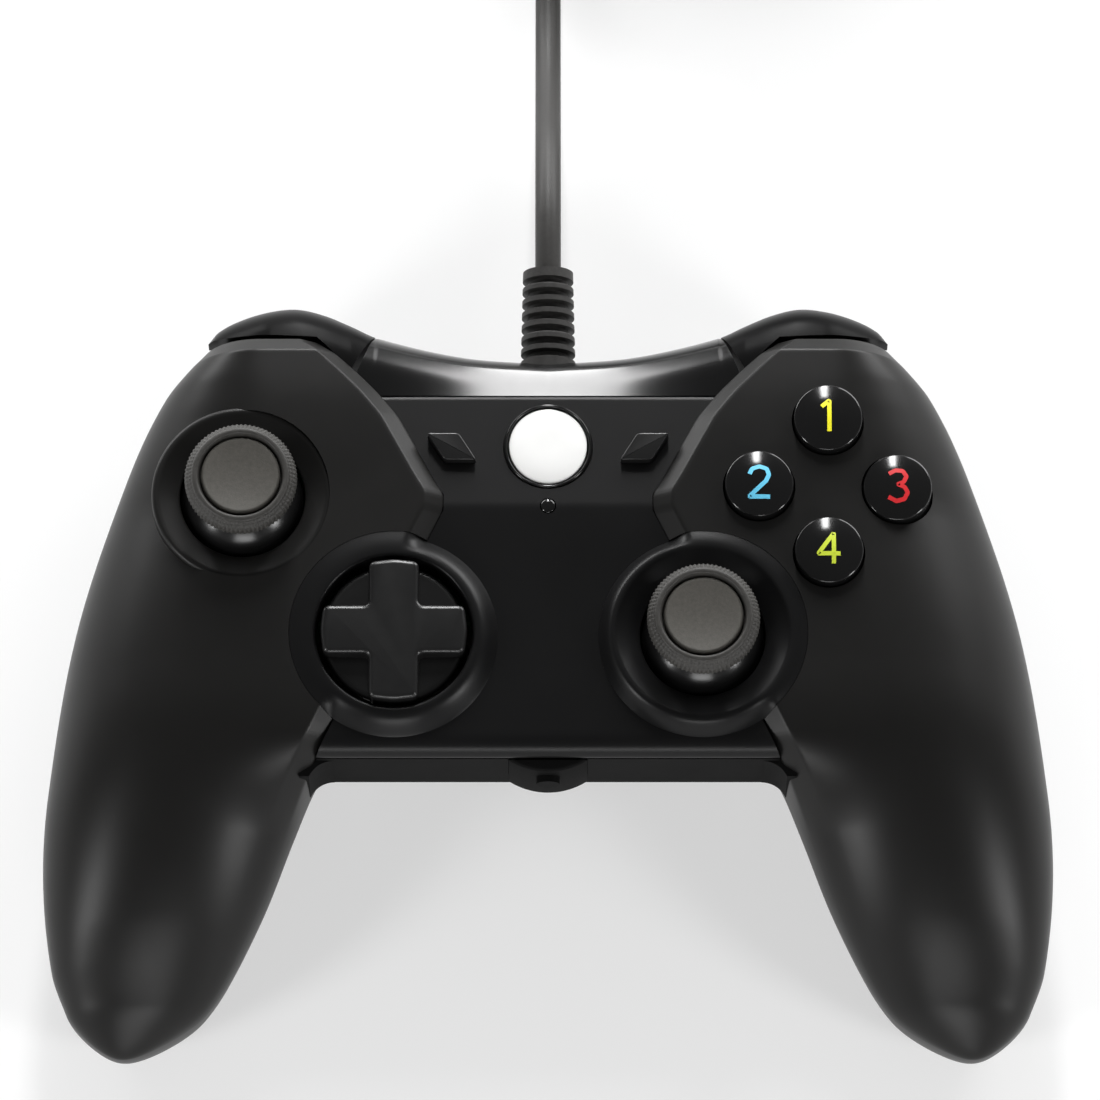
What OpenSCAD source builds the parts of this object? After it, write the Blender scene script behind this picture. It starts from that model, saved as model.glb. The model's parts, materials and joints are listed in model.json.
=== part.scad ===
// Wired gamepad controller lying face up on a table, millimetres.
// X runs to the right, Y away from the player, Z up, origin under the middle of the pad.

/* [Body] */
// Overall width across the grips
body_w = 155; // [152:1:158]
// Height of the centre panel's face above the table
face_z = 40; // [39.5:0.1:40.5]
// Wall thickness of the shells
wall = 2.2; // [1.8:0.1:2.5]
// Height of the grip covers above the centre panel
cover_rise = 2.6; // [2.2:0.1:3]
// Width of the chamfer along the edges of the covers
chamfer_w = 3; // [2:0.25:4]
// Depth of the chamfer along the edges of the covers
chamfer_h = 2.4; // [1.8:0.1:2.6]
// Thickness of the centre panel
panel_t = 2.4; // [2:0.1:2.8]
// Clearance along the seams around the mounds and jack
seam = 0.05; // [0.02:0.01:0.1]

/* [Sticks] */
// Diameter of a stick cap
cap_d = 17.2; // [16:0.2:17.6]
// Diameter of the dished disc on a cap
cap_dish_d = 12.1; // [10:0.1:13]
// Diameter of the opening under a cap
dish_hole_d = 19.2; // [19:0.1:19.6]
// Diameter of the dome under a cap, seen as a whole sphere
dome_d = 20.2; // [19.6:0.1:20.4]

/* [Buttons] */
// Diameter of a face button
face_button_d = 10.5; // [9.5:0.1:11]
// Distance of a face button from the middle of the four
face_button_pitch = 10.6; // [10.2:0.1:11.5]
// Height of a face button's dome above the cover
face_button_rise = 2.8; // [2:0.1:3.5]
// Diameter of the guide button
guide_d = 12; // [11:0.5:12.5]
// Span of the direction cross
cross_span = 22.4; // [20:0.2:22.4]
// Width of an arm of the cross
arm_w = 7.6; // [6.5:0.1:8.5]
// Width of a menu button
menu_w = 4.9; // [4:0.1:5.5]
// Sliding clearance of a button in its hole
button_fit = 0.1; // [0.05:0.01:0.1]
// Clearance of a face button in the cover
cover_fit = 0.3; // [0.2:0.05:0.4]
// Running clearance of a pin in its bore
pin_fit = 0.05; // [0.02:0.01:0.08]

/* [Jack] */
// Bore of the headset jack
jack_d = 3.6; // [3.5:0.05:3.7]
// Depth of the headset jack
jack_depth = 14; // [12:0.5:15]

/* [Cord] */
// Diameter of the cord
cord_d = 4; // [3.8:0.1:4.2]
// Distance between neighbouring turns of the coil
coil_pitch = 4.5; // [4.5:0.1:4.8]
// Length of the plug's metal shell
plug_shell_l = 12; // [11.5:0.1:12.5]

/* [Hidden] */
$fn = 48;
coarse = 24;

side = body_w / 2;

// Heights of the layers inside
cover_z = face_z + cover_rise;
mound_z = face_z + 3;
board_top = face_z - 11.4;
board_t = 1.6;
board_bottom = board_top - board_t;
pivot_z = face_z - 5;
panel_under = face_z - panel_t;
shell_rim = 24;

// Inner edge of the right grip cover and of the handle below it
cover_line = [[51, 36.4], [43.6, 30.2], [41, 25.9], [38, 22.9], [28.6, 17.8], [25.6, 16], [23, 16],
    [-17, 36]];
handle_line = [[-10, 32.5], [-17, 36], [-24, 38.9], [-35, 43.4], [-45, 48.7], [-50, 52.3], [-57, 59.3]];
// Inner edge of the right grip back
back_line = [[42, 30], [0, 30], [-8, 31.5], [-17, 36]];
// Outer edge of the right grip as a share of half the width
outer_line = [[51, 0.69], [44, 0.768], [31, 0.845], [8, 0.937], [-18, 0.991], [-31, 1], [-44, 0.983],
    [-50, 0.955], [-57, 0.916]];
// Top of the grip below the cover's height, parting line and underside
crown_line = [[51, -1.2], [40, -0.2], [25, 0], [0, 0], [-12, -0.9], [-25, -5.2], [-38, -12], [-50, -21.3],
    [-57, -26]];
rim_line = [[51, 27], [25, 24.5], [0, 24], [-20, 22.5], [-35, 19], [-50, 14], [-57, 13.4]];
floor_line = [[51, 17], [42, 12], [30, 7.5], [10, 5.2], [-10, 4.5], [-25, 3], [-38, 0.6], [-46, -0.7],
    [-50, -0.3], [-57, 2]];
cover_end = 51;
back_end = 42;
tip_start = -50;
tip_len = 7;
tip_turns = [28, 50, 67, 79, 87];
tip_stations = [for (a = tip_turns) tip_start - tip_len * sin(a)];
handle_stations = [-17, -21, -25, -31, -38, -44];
cover_stations = concat([51, 48.5, 43.6, 41, 38, 33, 28.6, 25.6, 23, 14, 5, -4, -8, -13.5], handle_stations);
back_stations = concat([42, 32, 22, 11, 0, -5, -10, -14], handle_stations);
end_wall = 2;

// Middle shell, panel and shoulders
front_y = -15.7;
shell_front = front_y + 1.5;
shell_half = 30;
panel_top_y = 41.7;
shell_stations = concat([for (a = [88, 76, 62, 46, 30, 15, 0]) shell_front * sin(a)],
    [8, 16, 26, 34, 38, panel_top_y]);
fold_y = 23.7;
fold_z = face_z + 0.3;
band_end_z = face_z - 2;
panel_round = 3;
wall_top = face_z - panel_round;
hump_z = 0.5;
label = [[-12, 19], [12, 33]];
shoulder_end = grip_outer(cover_end) - 0.9;
seam_line = [[26.2, 53.9], [28.7, 43.6]];
shoulder_line = concat([[0, 49.6], [13, 50.7], seam_line[0]],
    [for (p = [[0.17, 56], [0.32, 57.7], [0.48, 58.7], [0.64, 58.3], [0.81, 56.9], [0.94, 55], [1, 53.1]])
        [mix(seam_line[0][0], shoulder_end, p[0]), p[1]]]);
bridge_stations = [0, 6, 13, 20, 26.2, 26.8, 27.5, 28.1, 28.7];
bridge_floor = 20;
shoulder_mid_z = 30;
bumper_near = [[26.8, 52.9], [29.6, 43.6], [36.3, 51.6], [shoulder_end, 52.6]];
bumper_stations = concat([26.8, 28, 29.6, 31.5, 33.7],
    [for (t = [0, 0.16, 0.32, 0.5, 0.7, 0.82, 0.92, 0.975, 1]) mix(bumper_near[2][0], shoulder_end, t)]);
bumper_bottom = 28.4;
bumper_pin = [32, 50.5];
bumper_pin_d = 2;

// Right half of the main board's outline
board_edge = [[29, -12.5], [30, -7], [side - 25.5, -7], [side - 20.5, 0], [side - 21.5, 39]];

// Places of the controls on the face
left_stick = [30.7 - side, 25.1];
right_stick = [side - 53.9, 2.9];
dpad = [54 - side, 2.9];
face_mid = [side - 34.6, 26];
guide = [0, 33.4];
guide_ring_r = guide_d / 2 + 0.9;
led = [0, fold_y];
menu_x = 14.8;
menu_y = 33;
menu_h = 4.3;
menu_slant = 2.7;
mound_r = 16;

// Stick gimbals
stick_base_r = 8.2;
gimbal_r = 0.8;
shaft_r = 1.5;
dome_edge = 3.5;

// Shoulder brackets, triggers and their pins
bracket = [[29.4, shoulder_end - 2.6], [42, 52.5], [26, 28]];
cheek_t = 1.8;
trigger_pivot = [47, 22];
trigger_pin_d = 3;
trigger_gap = 0.4;
trigger_x = [bracket[0][0] + cheek_t + trigger_gap, bracket[0][1] - cheek_t - trigger_gap];

// Screw columns: place, start, screw seat, joint and top
grip_column = [[side - 15.5, 12, 10.8, 14, 26, face_z - 4.2],
    [grip_mid(-38) + 0.8, -38, 1.2, 7, 18, face_z - 12.7]];
middle_column = [9, 16];
middle_seat = 16;
front_post = [20, -9];
column_r = 3.6;
screw_r = 1.2;
head_r = 2.5;

// Rumble motors
motor_at = [-22, 20];
motor_r = 7;
motor_mid = grip_mid(motor_at[0]);
motor_x = [motor_mid - 10.8, motor_mid + 2.2];
weight_x = [motor_mid + 4, motor_mid + 10];
weight_r = 7.8;
motor_shaft_r = 1;

// Cord: relief, route as y and z, and coil
relief_z = 26;
relief_y = [45, 66];
cord_route = [[66, 26], [70, 26], [78, 25], [88, 20.5], [98, 13], [108, 6.5], [118, 3.2], [128, 2.7],
    [150, 2.7], [175, 2.7]];
cord_end = cord_route[len(cord_route) - 1][0];
cord_step = 8.5;
cord_sides = 10;
coil_sides = 6;
coil_rings = 24;
layer_turns = 4.8125;
layers = 4;
coil_inner = 13;
coil_outer = coil_inner + layer_turns * coil_pitch;
coil_lift = 0.7;
coil_z = coil_lift + cord_d / 2;
coil_mid = [coil_outer, cord_end + cord_d];
tail_l = 34;
plug_z = 4;
plug_body = [28, 15.6, 8];

// Blends between values and smooth curves through points
function mix(a, b, t) = a + (b - a) * t;
function ease(t) = let (u = min(1, max(0, t))) u * u * (3 - 2 * u);
function span(p, v, i = 0) =
    i >= len(p) - 2 || (v - p[i + 1][0]) * (p[1][0] - p[0][0]) <= 0 ? i : span(p, v, i + 1);
function grade(p, i) =
    let (a = p[max(0, i - 1)], b = p[min(len(p) - 1, i + 1)]) (b[1] - a[1]) / (b[0] - a[0]);
function along(p, v) =
    let (i = span(p, v), h = p[i + 1][0] - p[i][0], t = (v - p[i][0]) / h)
    p[i][1] * (2 * t * t * t - 3 * t * t + 1) + grade(p, i) * h * (t * t * t - 2 * t * t + t)
    + p[i + 1][1] * (3 * t * t - 2 * t * t * t) + grade(p, i + 1) * h * (t * t * t - t * t);
function straight(p, v) =
    let (i = span(p, v)) mix(p[i][1], p[i + 1][1], (v - p[i][0]) / (p[i + 1][0] - p[i][0]));

// Edges and heights of the right grip at a station along Y
function shrink(y) = y >= tip_start ? 1 : sqrt(1 - pow((tip_start - y) / tip_len, 2));
function grip_outer(y) = side * along(outer_line, y);
function cover_inner(y) = y > -17 ? straight(cover_line, y) : along(handle_line, y);
function back_inner(y) = y > -17 ? straight(back_line, y) : along(handle_line, y);
function grip_mid(y) = (cover_inner(y) + grip_outer(y)) / 2;
function grip_rim(y) = along(rim_line, y);
function end_chamfer(y) = chamfer_h * max(0, (y - cover_end + 2.5) / 2.5);
function grip_rise(y) = (cover_z + along(crown_line, y) - end_chamfer(y) - grip_rim(y)) * shrink(y);
function grip_sink(y) = (grip_rim(y) - along(floor_line, y)) * shrink(y);
function cover_low(y) = mix(face_z - 4, grip_rim(y), ease((-4 - y) / 9));
function cover_roll(y) = ease((-12 - y) / 14);
function back_roll(y) = ease(-y / 16);

// Half of a section from its inner edge to its middle, a chamfered wall that rolls into an ellipse
function inner_half(a, m, low, top, edge, step, roll) =
    [for (q = [0:5])
        let (x = q < 2 ? a : q == 2 ? a + edge : mix(a + edge, m, (q - 2) / 3),
            z = q == 0 ? low : q == 1 ? top - step : top, t = 90 - 18 * q)
        [mix(x, m - (m - a) * sin(t), roll), mix(z, low + (top - low) * cos(t), roll)]];
function outer_half(m, b, rim, top) =
    [for (q = [1:6]) [m + (b - m) * sin(15 * q), rim + (top - rim) * cos(15 * q)]];
function reversed(p) = [for (i = [len(p) - 1:-1:0]) p[i]];

// Sections of the cover and of the grip back at a station, set in from the outer face
function cover_section(y, inset) =
    let (m = grip_mid(y), h = (grip_outer(y) - m) * shrink(y) - inset, rim = grip_rim(y) - inset,
        low = cover_low(y) - inset,
        top = grip_rim(y) + grip_rise(y) - inset)
    [for (p = concat(inner_half(m - h, m, low, top, chamfer_w, chamfer_h, cover_roll(y)),
        outer_half(m, m + h, rim, top))) [p[0], y, p[1]]];
function back_section(y, inset) =
    let (m = (back_inner(y) + grip_outer(y)) / 2, h = (grip_outer(y) - m) * shrink(y) - inset,
        rim = grip_rim(y) + inset, bottom = grip_rim(y) - grip_sink(y) + inset)
    [for (p = concat(inner_half(m - h, m, rim, bottom, 4, 0, back_roll(y)),
        outer_half(m, m + h, rim, bottom))) [p[0], y, max(0, p[1])]];

// Height of the cover's outer face over a place on the right grip
function cover_height(x, y) =
    let (m = grip_mid(y), s = max(0, (x - m) / (grip_outer(y) - m)))
    grip_rim(y) + grip_rise(y) * sqrt(1 - s * s);

// Section of the middle shell, which closes to its rim at the front and carries a flat hump behind
function shell_close(y, inset) = y >= 0 ? 1 : sqrt(max(0, 1 - pow(y / (shell_front + inset), 2)));
function hump(y) = ease((y + 12) / 20) * ease((panel_top_y - y) / 7);
function shell_floor(z, y, inset) = shell_rim - (shell_rim - z - inset) * shell_close(y, inset);
function shell_section(y, inset) =
    let (flat = along(floor_line, max(0, y)), low = mix(flat, hump_z, hump(y)), half = shell_half - inset)
    [for (s = [-1, 1], p = [[half, shell_rim + inset], [half, shell_floor(flat, y, inset)],
        [24, shell_floor(mix(flat, low, 0.5), y, inset)], [14, shell_floor(low, y, inset)]])
        [s * p[0], y, p[1]]];

// Solid through a row of closed rings, with flat ends
module loft(rings) {
    n = len(rings[0]);
    last = len(rings) - 1;
    polyhedron([for (r = rings) each r],
        concat([for (i = [0:last - 1], j = [0:n - 1]) let (k = (j + 1) % n) each
            [[i * n + j, i * n + k, i * n + n + k], [i * n + j, i * n + n + k, i * n + n + j]]],
            [[for (j = [n - 1:-1:0]) j]], [[for (j = [0:n - 1]) last * n + j]]));
}

// Convex solid round a cloud of points
module wrap(points) {
    hull() polyhedron(points, [[for (i = [0:len(points) - 1]) i]]);
}

// Round tube along points that never run straight up
function unit(v) = v / norm(v);
function tube_ring(p, i, r, sides) =
    let (t = unit(p[min(len(p) - 1, i + 1)] - p[max(0, i - 1)]), s = unit(cross(t, [0, 0, 1])),
        u = cross(s, t))
    [for (k = [0:sides - 1]) p[i] + r * (s * sin(360 * k / sides) + u * cos(360 * k / sides))];
module tube(p, d, sides) {
    loft([for (i = [0:len(p) - 1]) reversed(tube_ring(p, i, d / 2, sides))]);
}

module flip(left) {
    if (left) mirror([1, 0, 0]) children();
    else children();
}

module ring(ro, ri, h) {
    difference() {
        cylinder(r = ro, h = h);
        translate([0, 0, -1]) cylinder(r = ri, h = h + 2);
    }
}

// Profile in Y and Z drawn out along X
module along_x(x0, x1) {
    translate([x0, 0, 0]) rotate([90, 0, 90]) linear_extrude(x1 - x0) children();
}

module across_x(r, x0, x1) {
    translate([x0, 0, 0]) rotate([0, 90, 0]) cylinder(r = r, h = x1 - x0);
}

module along_y(r, y0, y1) {
    translate([0, y0, 0]) rotate([-90, 0, 0]) cylinder(r = r, h = y1 - y0);
}

module box(x, y, z) {
    translate([x[0], y[0], z[0]]) cube([x[1] - x[0], y[1] - y[0], z[1] - z[0]]);
}

// Grip covers
module cover_form(ys, inset) {
    for (i = [1:len(ys) - 1]) wrap(concat(cover_section(ys[i - 1], inset), cover_section(ys[i], inset)));
}

// Round corner between the front wall and the handle
corner_r = 4;
module corner_fillet() {
    x0 = straight(cover_line, front_y);
    turn = 24;
    mid = [x0 - corner_r * tan((90 - turn) / 2), front_y - seam - corner_r];
    translate([0, 0, shell_rim]) linear_extrude(wall_top - 1 - shell_rim)
        polygon(concat([for (a = [90:-11:turn]) mid + corner_r * [cos(a), sin(a)]],
            [[x0 + 2.6, mid[1] + corner_r * sin(turn)], [x0 + 2.6, front_y - seam]]));
}

module cover_body() {
    inside = concat([cover_end + 1], [for (y = cover_stations) if (y < cover_end) y], [-46]);
    difference() {
        union() {
            difference() {
                cover_form(concat(cover_stations, [tip_start], tip_stations), 0);
                cover_form(inside, wall);
            }
            for (c = grip_column) translate([c[0], c[1], c[4]])
                cylinder(r = column_r, h = c[5] - c[4], $fn = coarse);
            corner_fillet();
        }
        for (c = grip_column) translate([c[0], c[1], c[4] - 1])
            cylinder(r = screw_r + pin_fit, h = 8, $fn = coarse);
    }
}

module mound_notch(at) {
    translate([at[0], at[1], shell_rim]) cylinder(r = mound_r + seam, h = mound_z + 1 - shell_rim);
}

module left_grip_cover() {
    color("#2b2a29") difference() {
        union() {
            mirror([1, 0, 0]) cover_body();
            translate([left_stick[0], left_stick[1], face_z - 5]) cylinder(r = 13.9, h = 7.13);
        }
        mound_notch(dpad);
        translate([left_stick[0], left_stick[1], 0]) rotate_extrude() polygon([[0, face_z - 9],
            [12.6, face_z - 9], [12.6, face_z - 0.2], [dish_hole_d / 2, face_z - 0.4],
            [dish_hole_d / 2, face_z + 0.4], [13, face_z + 2.1], [13.3, face_z + 6], [0, face_z + 6]]);
    }
}

module right_grip_cover() {
    color("#2b2a29") difference() {
        cover_body();
        mound_notch(right_stick);
        for (b = face_buttons) translate([b[0], b[1], shell_rim + 4])
            cylinder(r = face_button_d / 2 + cover_fit, h = mound_z - shell_rim);
    }
}

// Grip backs
module back_form(ys, inset) {
    for (i = [1:len(ys) - 1]) wrap(concat(back_section(ys[i - 1], inset), back_section(ys[i], inset)));
}

module grip_back() {
    inside = concat([back_end - end_wall], [for (y = back_stations) if (y < back_end - end_wall) y], [-46]);
    difference() {
        union() {
            difference() {
                back_form(concat(back_stations, [tip_start], tip_stations), 0);
                back_form(inside, wall);
            }
            for (c = grip_column) translate([c[0], c[1], c[2]])
                cylinder(r = column_r, h = c[4] - c[2], $fn = coarse);
            box([motor_x[0] + 2, motor_x[1] - 1], [motor_at[0] - 4, motor_at[0] + 4], [6, motor_at[1] - 2]);
        }
        translate([0, motor_at[0], motor_at[1]]) across_x(motor_r + seam, motor_x[0] - 2, motor_x[1] + 2);
        for (c = grip_column) translate([c[0], c[1], 0]) {
            translate([0, 0, -1]) cylinder(r = head_r + pin_fit, h = c[3] + 1, $fn = coarse);
            cylinder(r = screw_r + pin_fit, h = c[4] + 1, $fn = coarse);
        }
    }
}

module left_grip_back() {
    color("#262524") flip(true) grip_back();
}

module right_grip_back() {
    color("#262524") grip_back();
}

// Middle shell under the panel, and the bare rating label on its hump
module shell_form(ys, inset) {
    for (i = [1:len(ys) - 1]) wrap(concat(shell_section(ys[i - 1], inset), shell_section(ys[i], inset)));
}

module rear_shell() {
    inside = concat([for (y = shell_stations) if (y > shell_front + wall && y < panel_top_y - end_wall) y],
        [panel_top_y - end_wall]);
    color("#262524") difference() {
        union() {
            difference() {
                shell_form(shell_stations, 0);
                shell_form(inside, wall);
            }
            for (s = [-1, 1]) {
                translate([s * middle_column[0], middle_column[1], 1.5])
                    cylinder(r = column_r, h = board_bottom - 1.5, $fn = coarse);
                translate([s * front_post[0], front_post[1], 10])
                    cylinder(r = 3, h = board_bottom - 10, $fn = coarse);
            }
        }
        for (s = [-1, 1]) translate([s * middle_column[0], middle_column[1], 0]) {
            translate([0, 0, -1]) cylinder(r = head_r + pin_fit, h = middle_seat + 1, $fn = coarse);
            cylinder(r = screw_r + pin_fit, h = 40, $fn = coarse);
        }
    }
}

module rating_label() {
    color("#8a8884") box([label[0][0], label[1][0]], [label[0][1], label[1][1]], [0, hump_z]);
}

// Centre panel
module panel_side() {
    y0 = front_y + panel_round;
    inner = panel_round - panel_t;
    polygon(concat([[panel_top_y, band_end_z], [fold_y, fold_z]],
        [for (a = [0:15:90]) [y0 - panel_round * sin(a), wall_top + panel_round * cos(a)]],
        [for (a = [90:-15:0]) [y0 - inner * sin(a), wall_top + inner * cos(a)]],
        [[fold_y, fold_z - panel_t], [panel_top_y, band_end_z - panel_t]]));
}

module panel_outline() {
    edge = [for (y = concat([panel_top_y], [for (i = [2:6]) cover_line[i][0]], [front_y]))
        [straight(cover_line, y), y]];
    polygon(concat(edge, reversed([for (p = edge) [-p[0], p[1]]])));
}

// Mound that falls to the panel on one side and is level with the cover on the other
mound_drop = 0.4;
module mound(at, lip, rim_r) {
    translate([at[0], at[1], 0]) rotate_extrude() polygon(concat(lip, [[rim_r, mound_z],
        [rim_r + 0.9, mound_z], [mound_r, face_z], [mound_r, panel_under], [mound_r - 1.6, panel_under]]));
    difference() {
        translate([at[0], at[1], face_z + mound_drop])
            ring(mound_r - seam, rim_r + 0.8, cover_rise - 2 * mound_drop);
        linear_extrude(cover_z + 1) offset(delta = chamfer_w / 2) panel_outline();
    }
}

module menu_outline(grow) {
    a = (menu_w - menu_slant) / 2;
    b = (menu_w + menu_slant) / 2;
    offset(delta = grow) polygon([[-b, menu_h / 2], [a, menu_h / 2], [b, -menu_h / 2], [-a, -menu_h / 2]]);
}

module centre_panel() {
    cross_hole = cross_r + 0.6;
    dish = dish_hole_d / 2;
    dish_rim = 13.2;
    color("#1d1d1e") difference() {
        union() {
            difference() {
                intersection() {
                    along_x(-40, 40) panel_side();
                    linear_extrude(60) panel_outline();
                }
                for (m = [dpad, right_stick]) translate([m[0], m[1], shell_rim + 5])
                    cylinder(r = mound_r - 0.8, h = 30);
            }
            mound(dpad, [[cross_hole, panel_under], [cross_hole, mound_z - 0.3]], cross_hole + 0.4);
            mound(right_stick, [[mound_r - 2.2, face_z + 0.9], [dish_rim - 0.7, face_z + 1.2],
                [dish, face_z - 0.4], [dish, face_z + 0.4]], dish_rim);
            for (s = [-1, 1]) translate([s * middle_column[0], middle_column[1], board_top])
                cylinder(r = 3, h = panel_under - board_top + 1);
        }
        for (s = [-1, 1]) {
            translate([s * middle_column[0], middle_column[1], board_top - 1])
                cylinder(r = screw_r + pin_fit, h = 7);
            translate([s * menu_x, menu_y, face_z - 8]) flip(s > 0)
                linear_extrude(12) menu_outline(button_fit);
        }
        translate([guide[0], guide[1], face_z - 8]) cylinder(r = guide_ring_r, h = 12);
        translate([led[0], led[1], face_z - 8]) cylinder(r = 1.2 + seam, h = 12);
    }
}

// Front wall under the panel's edge, notched for the jack
module front_wall() {
    edge = [for (y = [front_y, front_y + panel_t]) straight(cover_line, y)];
    color("#171718") difference() {
        translate([0, 0, shell_rim]) linear_extrude(wall_top - shell_rim)
            polygon([[-edge[0], front_y], [edge[0], front_y], [edge[1], front_y + panel_t],
                [-edge[1], front_y + panel_t]]);
        box([-jack_half - seam, jack_half + seam], [front_y - 1, front_y + panel_t + 1],
            [board_top - seam, wall_top + 1]);
    }
}

// Bridge and bumpers, cut from one form that falls from the panel to the far edge
function shoulder_ring(x, near, edge, low, top) =
    let (reach = along(shoulder_line, abs(x)) - panel_top_y, start = asin((near - panel_top_y) / reach),
        stop = asin(min(1, (edge - panel_top_y) / reach)))
    concat([[x, near, low]],
        [for (k = [0:6]) let (a = mix(start, stop, k / 6))
            [x, panel_top_y + reach * sin(a), mix(shoulder_mid_z, top, cos(a))]], [[x, edge, low]]);
function bridge_edge(x) =
    abs(x) <= seam_line[0][0] ? along(shoulder_line, abs(x)) : straight(seam_line, abs(x));

function bridge_near(x) =
    max(panel_top_y, seam + straight([for (i = [2, 1]) [cover_line[i][1], cover_line[i][0]]], abs(x)));

module shoulder_bridge() {
    xs = concat(reversed([for (x = bridge_stations) -x]), [for (x = bridge_stations) if (x > 0) x]);
    color("#141415") difference() {
        for (i = [1:len(xs) - 1]) wrap([for (x = [xs[i - 1], xs[i]])
            each shoulder_ring(x, bridge_near(x), bridge_edge(x), bridge_floor, band_end_z)]);
        translate([0, 0, relief_z]) along_y(relief_r(relief_y[0]) + pin_fit, relief_y[0], relief_y[1]);
        box([-bridge_stations[3], bridge_stations[3]], [panel_top_y - 1, relief_y[0]],
            [bridge_floor + 2, face_z - 6]);
    }
}

module shell_screws() {
    color("silver") {
        for (s = [-1, 1], c = grip_column) translate([s * c[0], c[1], c[3]]) screw(c[4] - c[3] + 6);
        for (s = [-1, 1]) translate([s * middle_column[0], middle_column[1], middle_seat])
            screw(board_top - middle_seat + 5);
    }
}

module screw(l) {
    cylinder(r = screw_r, h = l);
    translate([0, 0, -2]) cylinder(r = head_r, h = 2);
}

module main_board() {
    color("#1f5c3a") difference() {
        translate([0, 0, board_bottom]) linear_extrude(board_t)
            polygon([for (s = [-1, 1], p = s < 0 ? board_edge : reversed(board_edge)) [s * p[0], p[1]]]);
        for (s = [-1, 1]) translate([s * middle_column[0], middle_column[1], board_bottom - 1])
            cylinder(r = screw_r + pin_fit, h = 4);
    }
}

// Guide button, light and jack
module guide_ring() {
    color("#55534f") translate([guide[0], guide[1], face_z - 5])
        ring(guide_ring_r - seam, guide_d / 2 + button_fit, 4.4);
}

module guide_button() {
    color("white") translate([guide[0], guide[1], 0]) {
        translate([0, 0, face_z - 4]) cylinder(r = guide_d / 2, h = 4);
        translate([0, 0, board_top + 1.2]) cylinder(r = 2, h = face_z - 3 - board_top - 1.2);
    }
}

module status_led() {
    color("#d9d6cf") translate([led[0], led[1], board_top]) cylinder(r = 1.2, h = fold_z + 0.2 - board_top);
}

jack_z = board_top + 4;
jack_half = 6;
jack_boss = 1.8;
boss_r = (pow(jack_half, 2) + pow(jack_boss, 2)) / (2 * jack_boss);
module headset_jack() {
    color("#191919") difference() {
        union() {
            intersection() {
                translate([0, front_y - jack_boss + boss_r, shell_rim])
                    cylinder(r = boss_r, h = wall_top - shell_rim);
                box([-jack_half, jack_half], [front_y - jack_boss, front_y], [shell_rim, wall_top - 0.4]);
            }
            box([-jack_half, jack_half], [front_y, front_y + 4], [board_top, wall_top - 0.4]);
            box([-jack_half, jack_half], [-12, front_y + 17], [board_top, wall_top - 1]);
        }
        translate([0, 0, jack_z]) along_y(jack_d / 2, front_y - 3, front_y - jack_boss + jack_depth);
    }
}

// Thumb sticks: base on the board, gimbal ring, pivot block, shaft with dome and cap
module stick_base(at) {
    color("#3a3a3c") translate([at[0], at[1], 0]) difference() {
        union() {
            box([-stick_base_r, stick_base_r], [-stick_base_r, stick_base_r], [board_top, pivot_z - 2]);
            translate([0, 0, board_top]) cylinder(r = stick_base_r, h = pivot_z + 1.5 - board_top);
        }
        translate([0, 0, board_top + 1]) cylinder(r = stick_base_r - 1.2, h = 20);
        translate([0, 0, pivot_z]) across_x(gimbal_r + pin_fit, -9, 9);
    }
}

module stick_yoke(at) {
    color("#b9b9bc") translate([at[0], at[1], pivot_z]) difference() {
        union() {
            translate([0, 0, -1.2]) ring(6.3, 4, 2.4);
            across_x(gimbal_r, -7.8, -5);
            across_x(gimbal_r, 5, 7.8);
        }
        along_y(gimbal_r + pin_fit, -8, 8);
    }
}

module stick_pivot(at) {
    color("#8d8d90") translate([at[0], at[1], pivot_z]) difference() {
        union() {
            translate([0, 0, -2.4]) cylinder(r = 3.2, h = 4.8);
            along_y(gimbal_r, -6.2, -2.5);
            along_y(gimbal_r, 2.5, 6.2);
        }
        translate([0, 0, -4]) cylinder(r = shaft_r + pin_fit, h = 8);
    }
}

module stick_cap(at) {
    top = face_z + 12;
    cap_r = cap_d / 2;
    color("#4a4845") translate([at[0], at[1], 0]) {
        translate([0, 0, pivot_z - 3]) cylinder(r = shaft_r, h = 10);
        translate([0, 0, pivot_z]) intersection() {
            difference() {
                sphere(d = dome_d);
                sphere(d = dome_d - 2.4);
            }
            translate([0, 0, dome_edge]) cylinder(r = dome_d, h = dome_d);
        }
        rotate_extrude() polygon([[0, pivot_z + 6.9], [1.4, pivot_z + 6.9], [3, pivot_z + 9.2],
            [3.2, face_z + 6.4], [cap_r - 1.2, face_z + 7.6], [cap_r, face_z + 8.6], [cap_r, face_z + 10.4],
            [cap_r - 1.2, top], [cap_dish_d / 2 + 0.5, top], [cap_dish_d / 2, top - 0.6], [0, top - 1.4]]);
    }
}

module left_stick_base() { stick_base(left_stick); }
module left_stick_yoke() { stick_yoke(left_stick); }
module left_stick_pivot() { stick_pivot(left_stick); }
module left_stick_cap() { stick_cap(left_stick); }
module right_stick_base() { stick_base(right_stick); }
module right_stick_yoke() { stick_yoke(right_stick); }
module right_stick_pivot() { stick_pivot(right_stick); }
module right_stick_cap() { stick_cap(right_stick); }

// Direction pad on a small universal joint
dpad_pivot_z = face_z - 2;
cross_r = cross_span / 2 + 0.2;
module dpad_post() {
    color("#3a3a3c") translate([dpad[0], dpad[1], 0]) difference() {
        union() {
            for (s = [-1, 1]) box([s * 6 - 0.8, s * 6 + 0.8], [-2, 2], [board_top, dpad_pivot_z + 1.3]);
            box([-6.8, 6.8], [-2, 2], [board_top, board_top + 1.2]);
        }
        translate([0, 0, dpad_pivot_z]) across_x(gimbal_r + pin_fit, -9, 9);
    }
}

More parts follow.
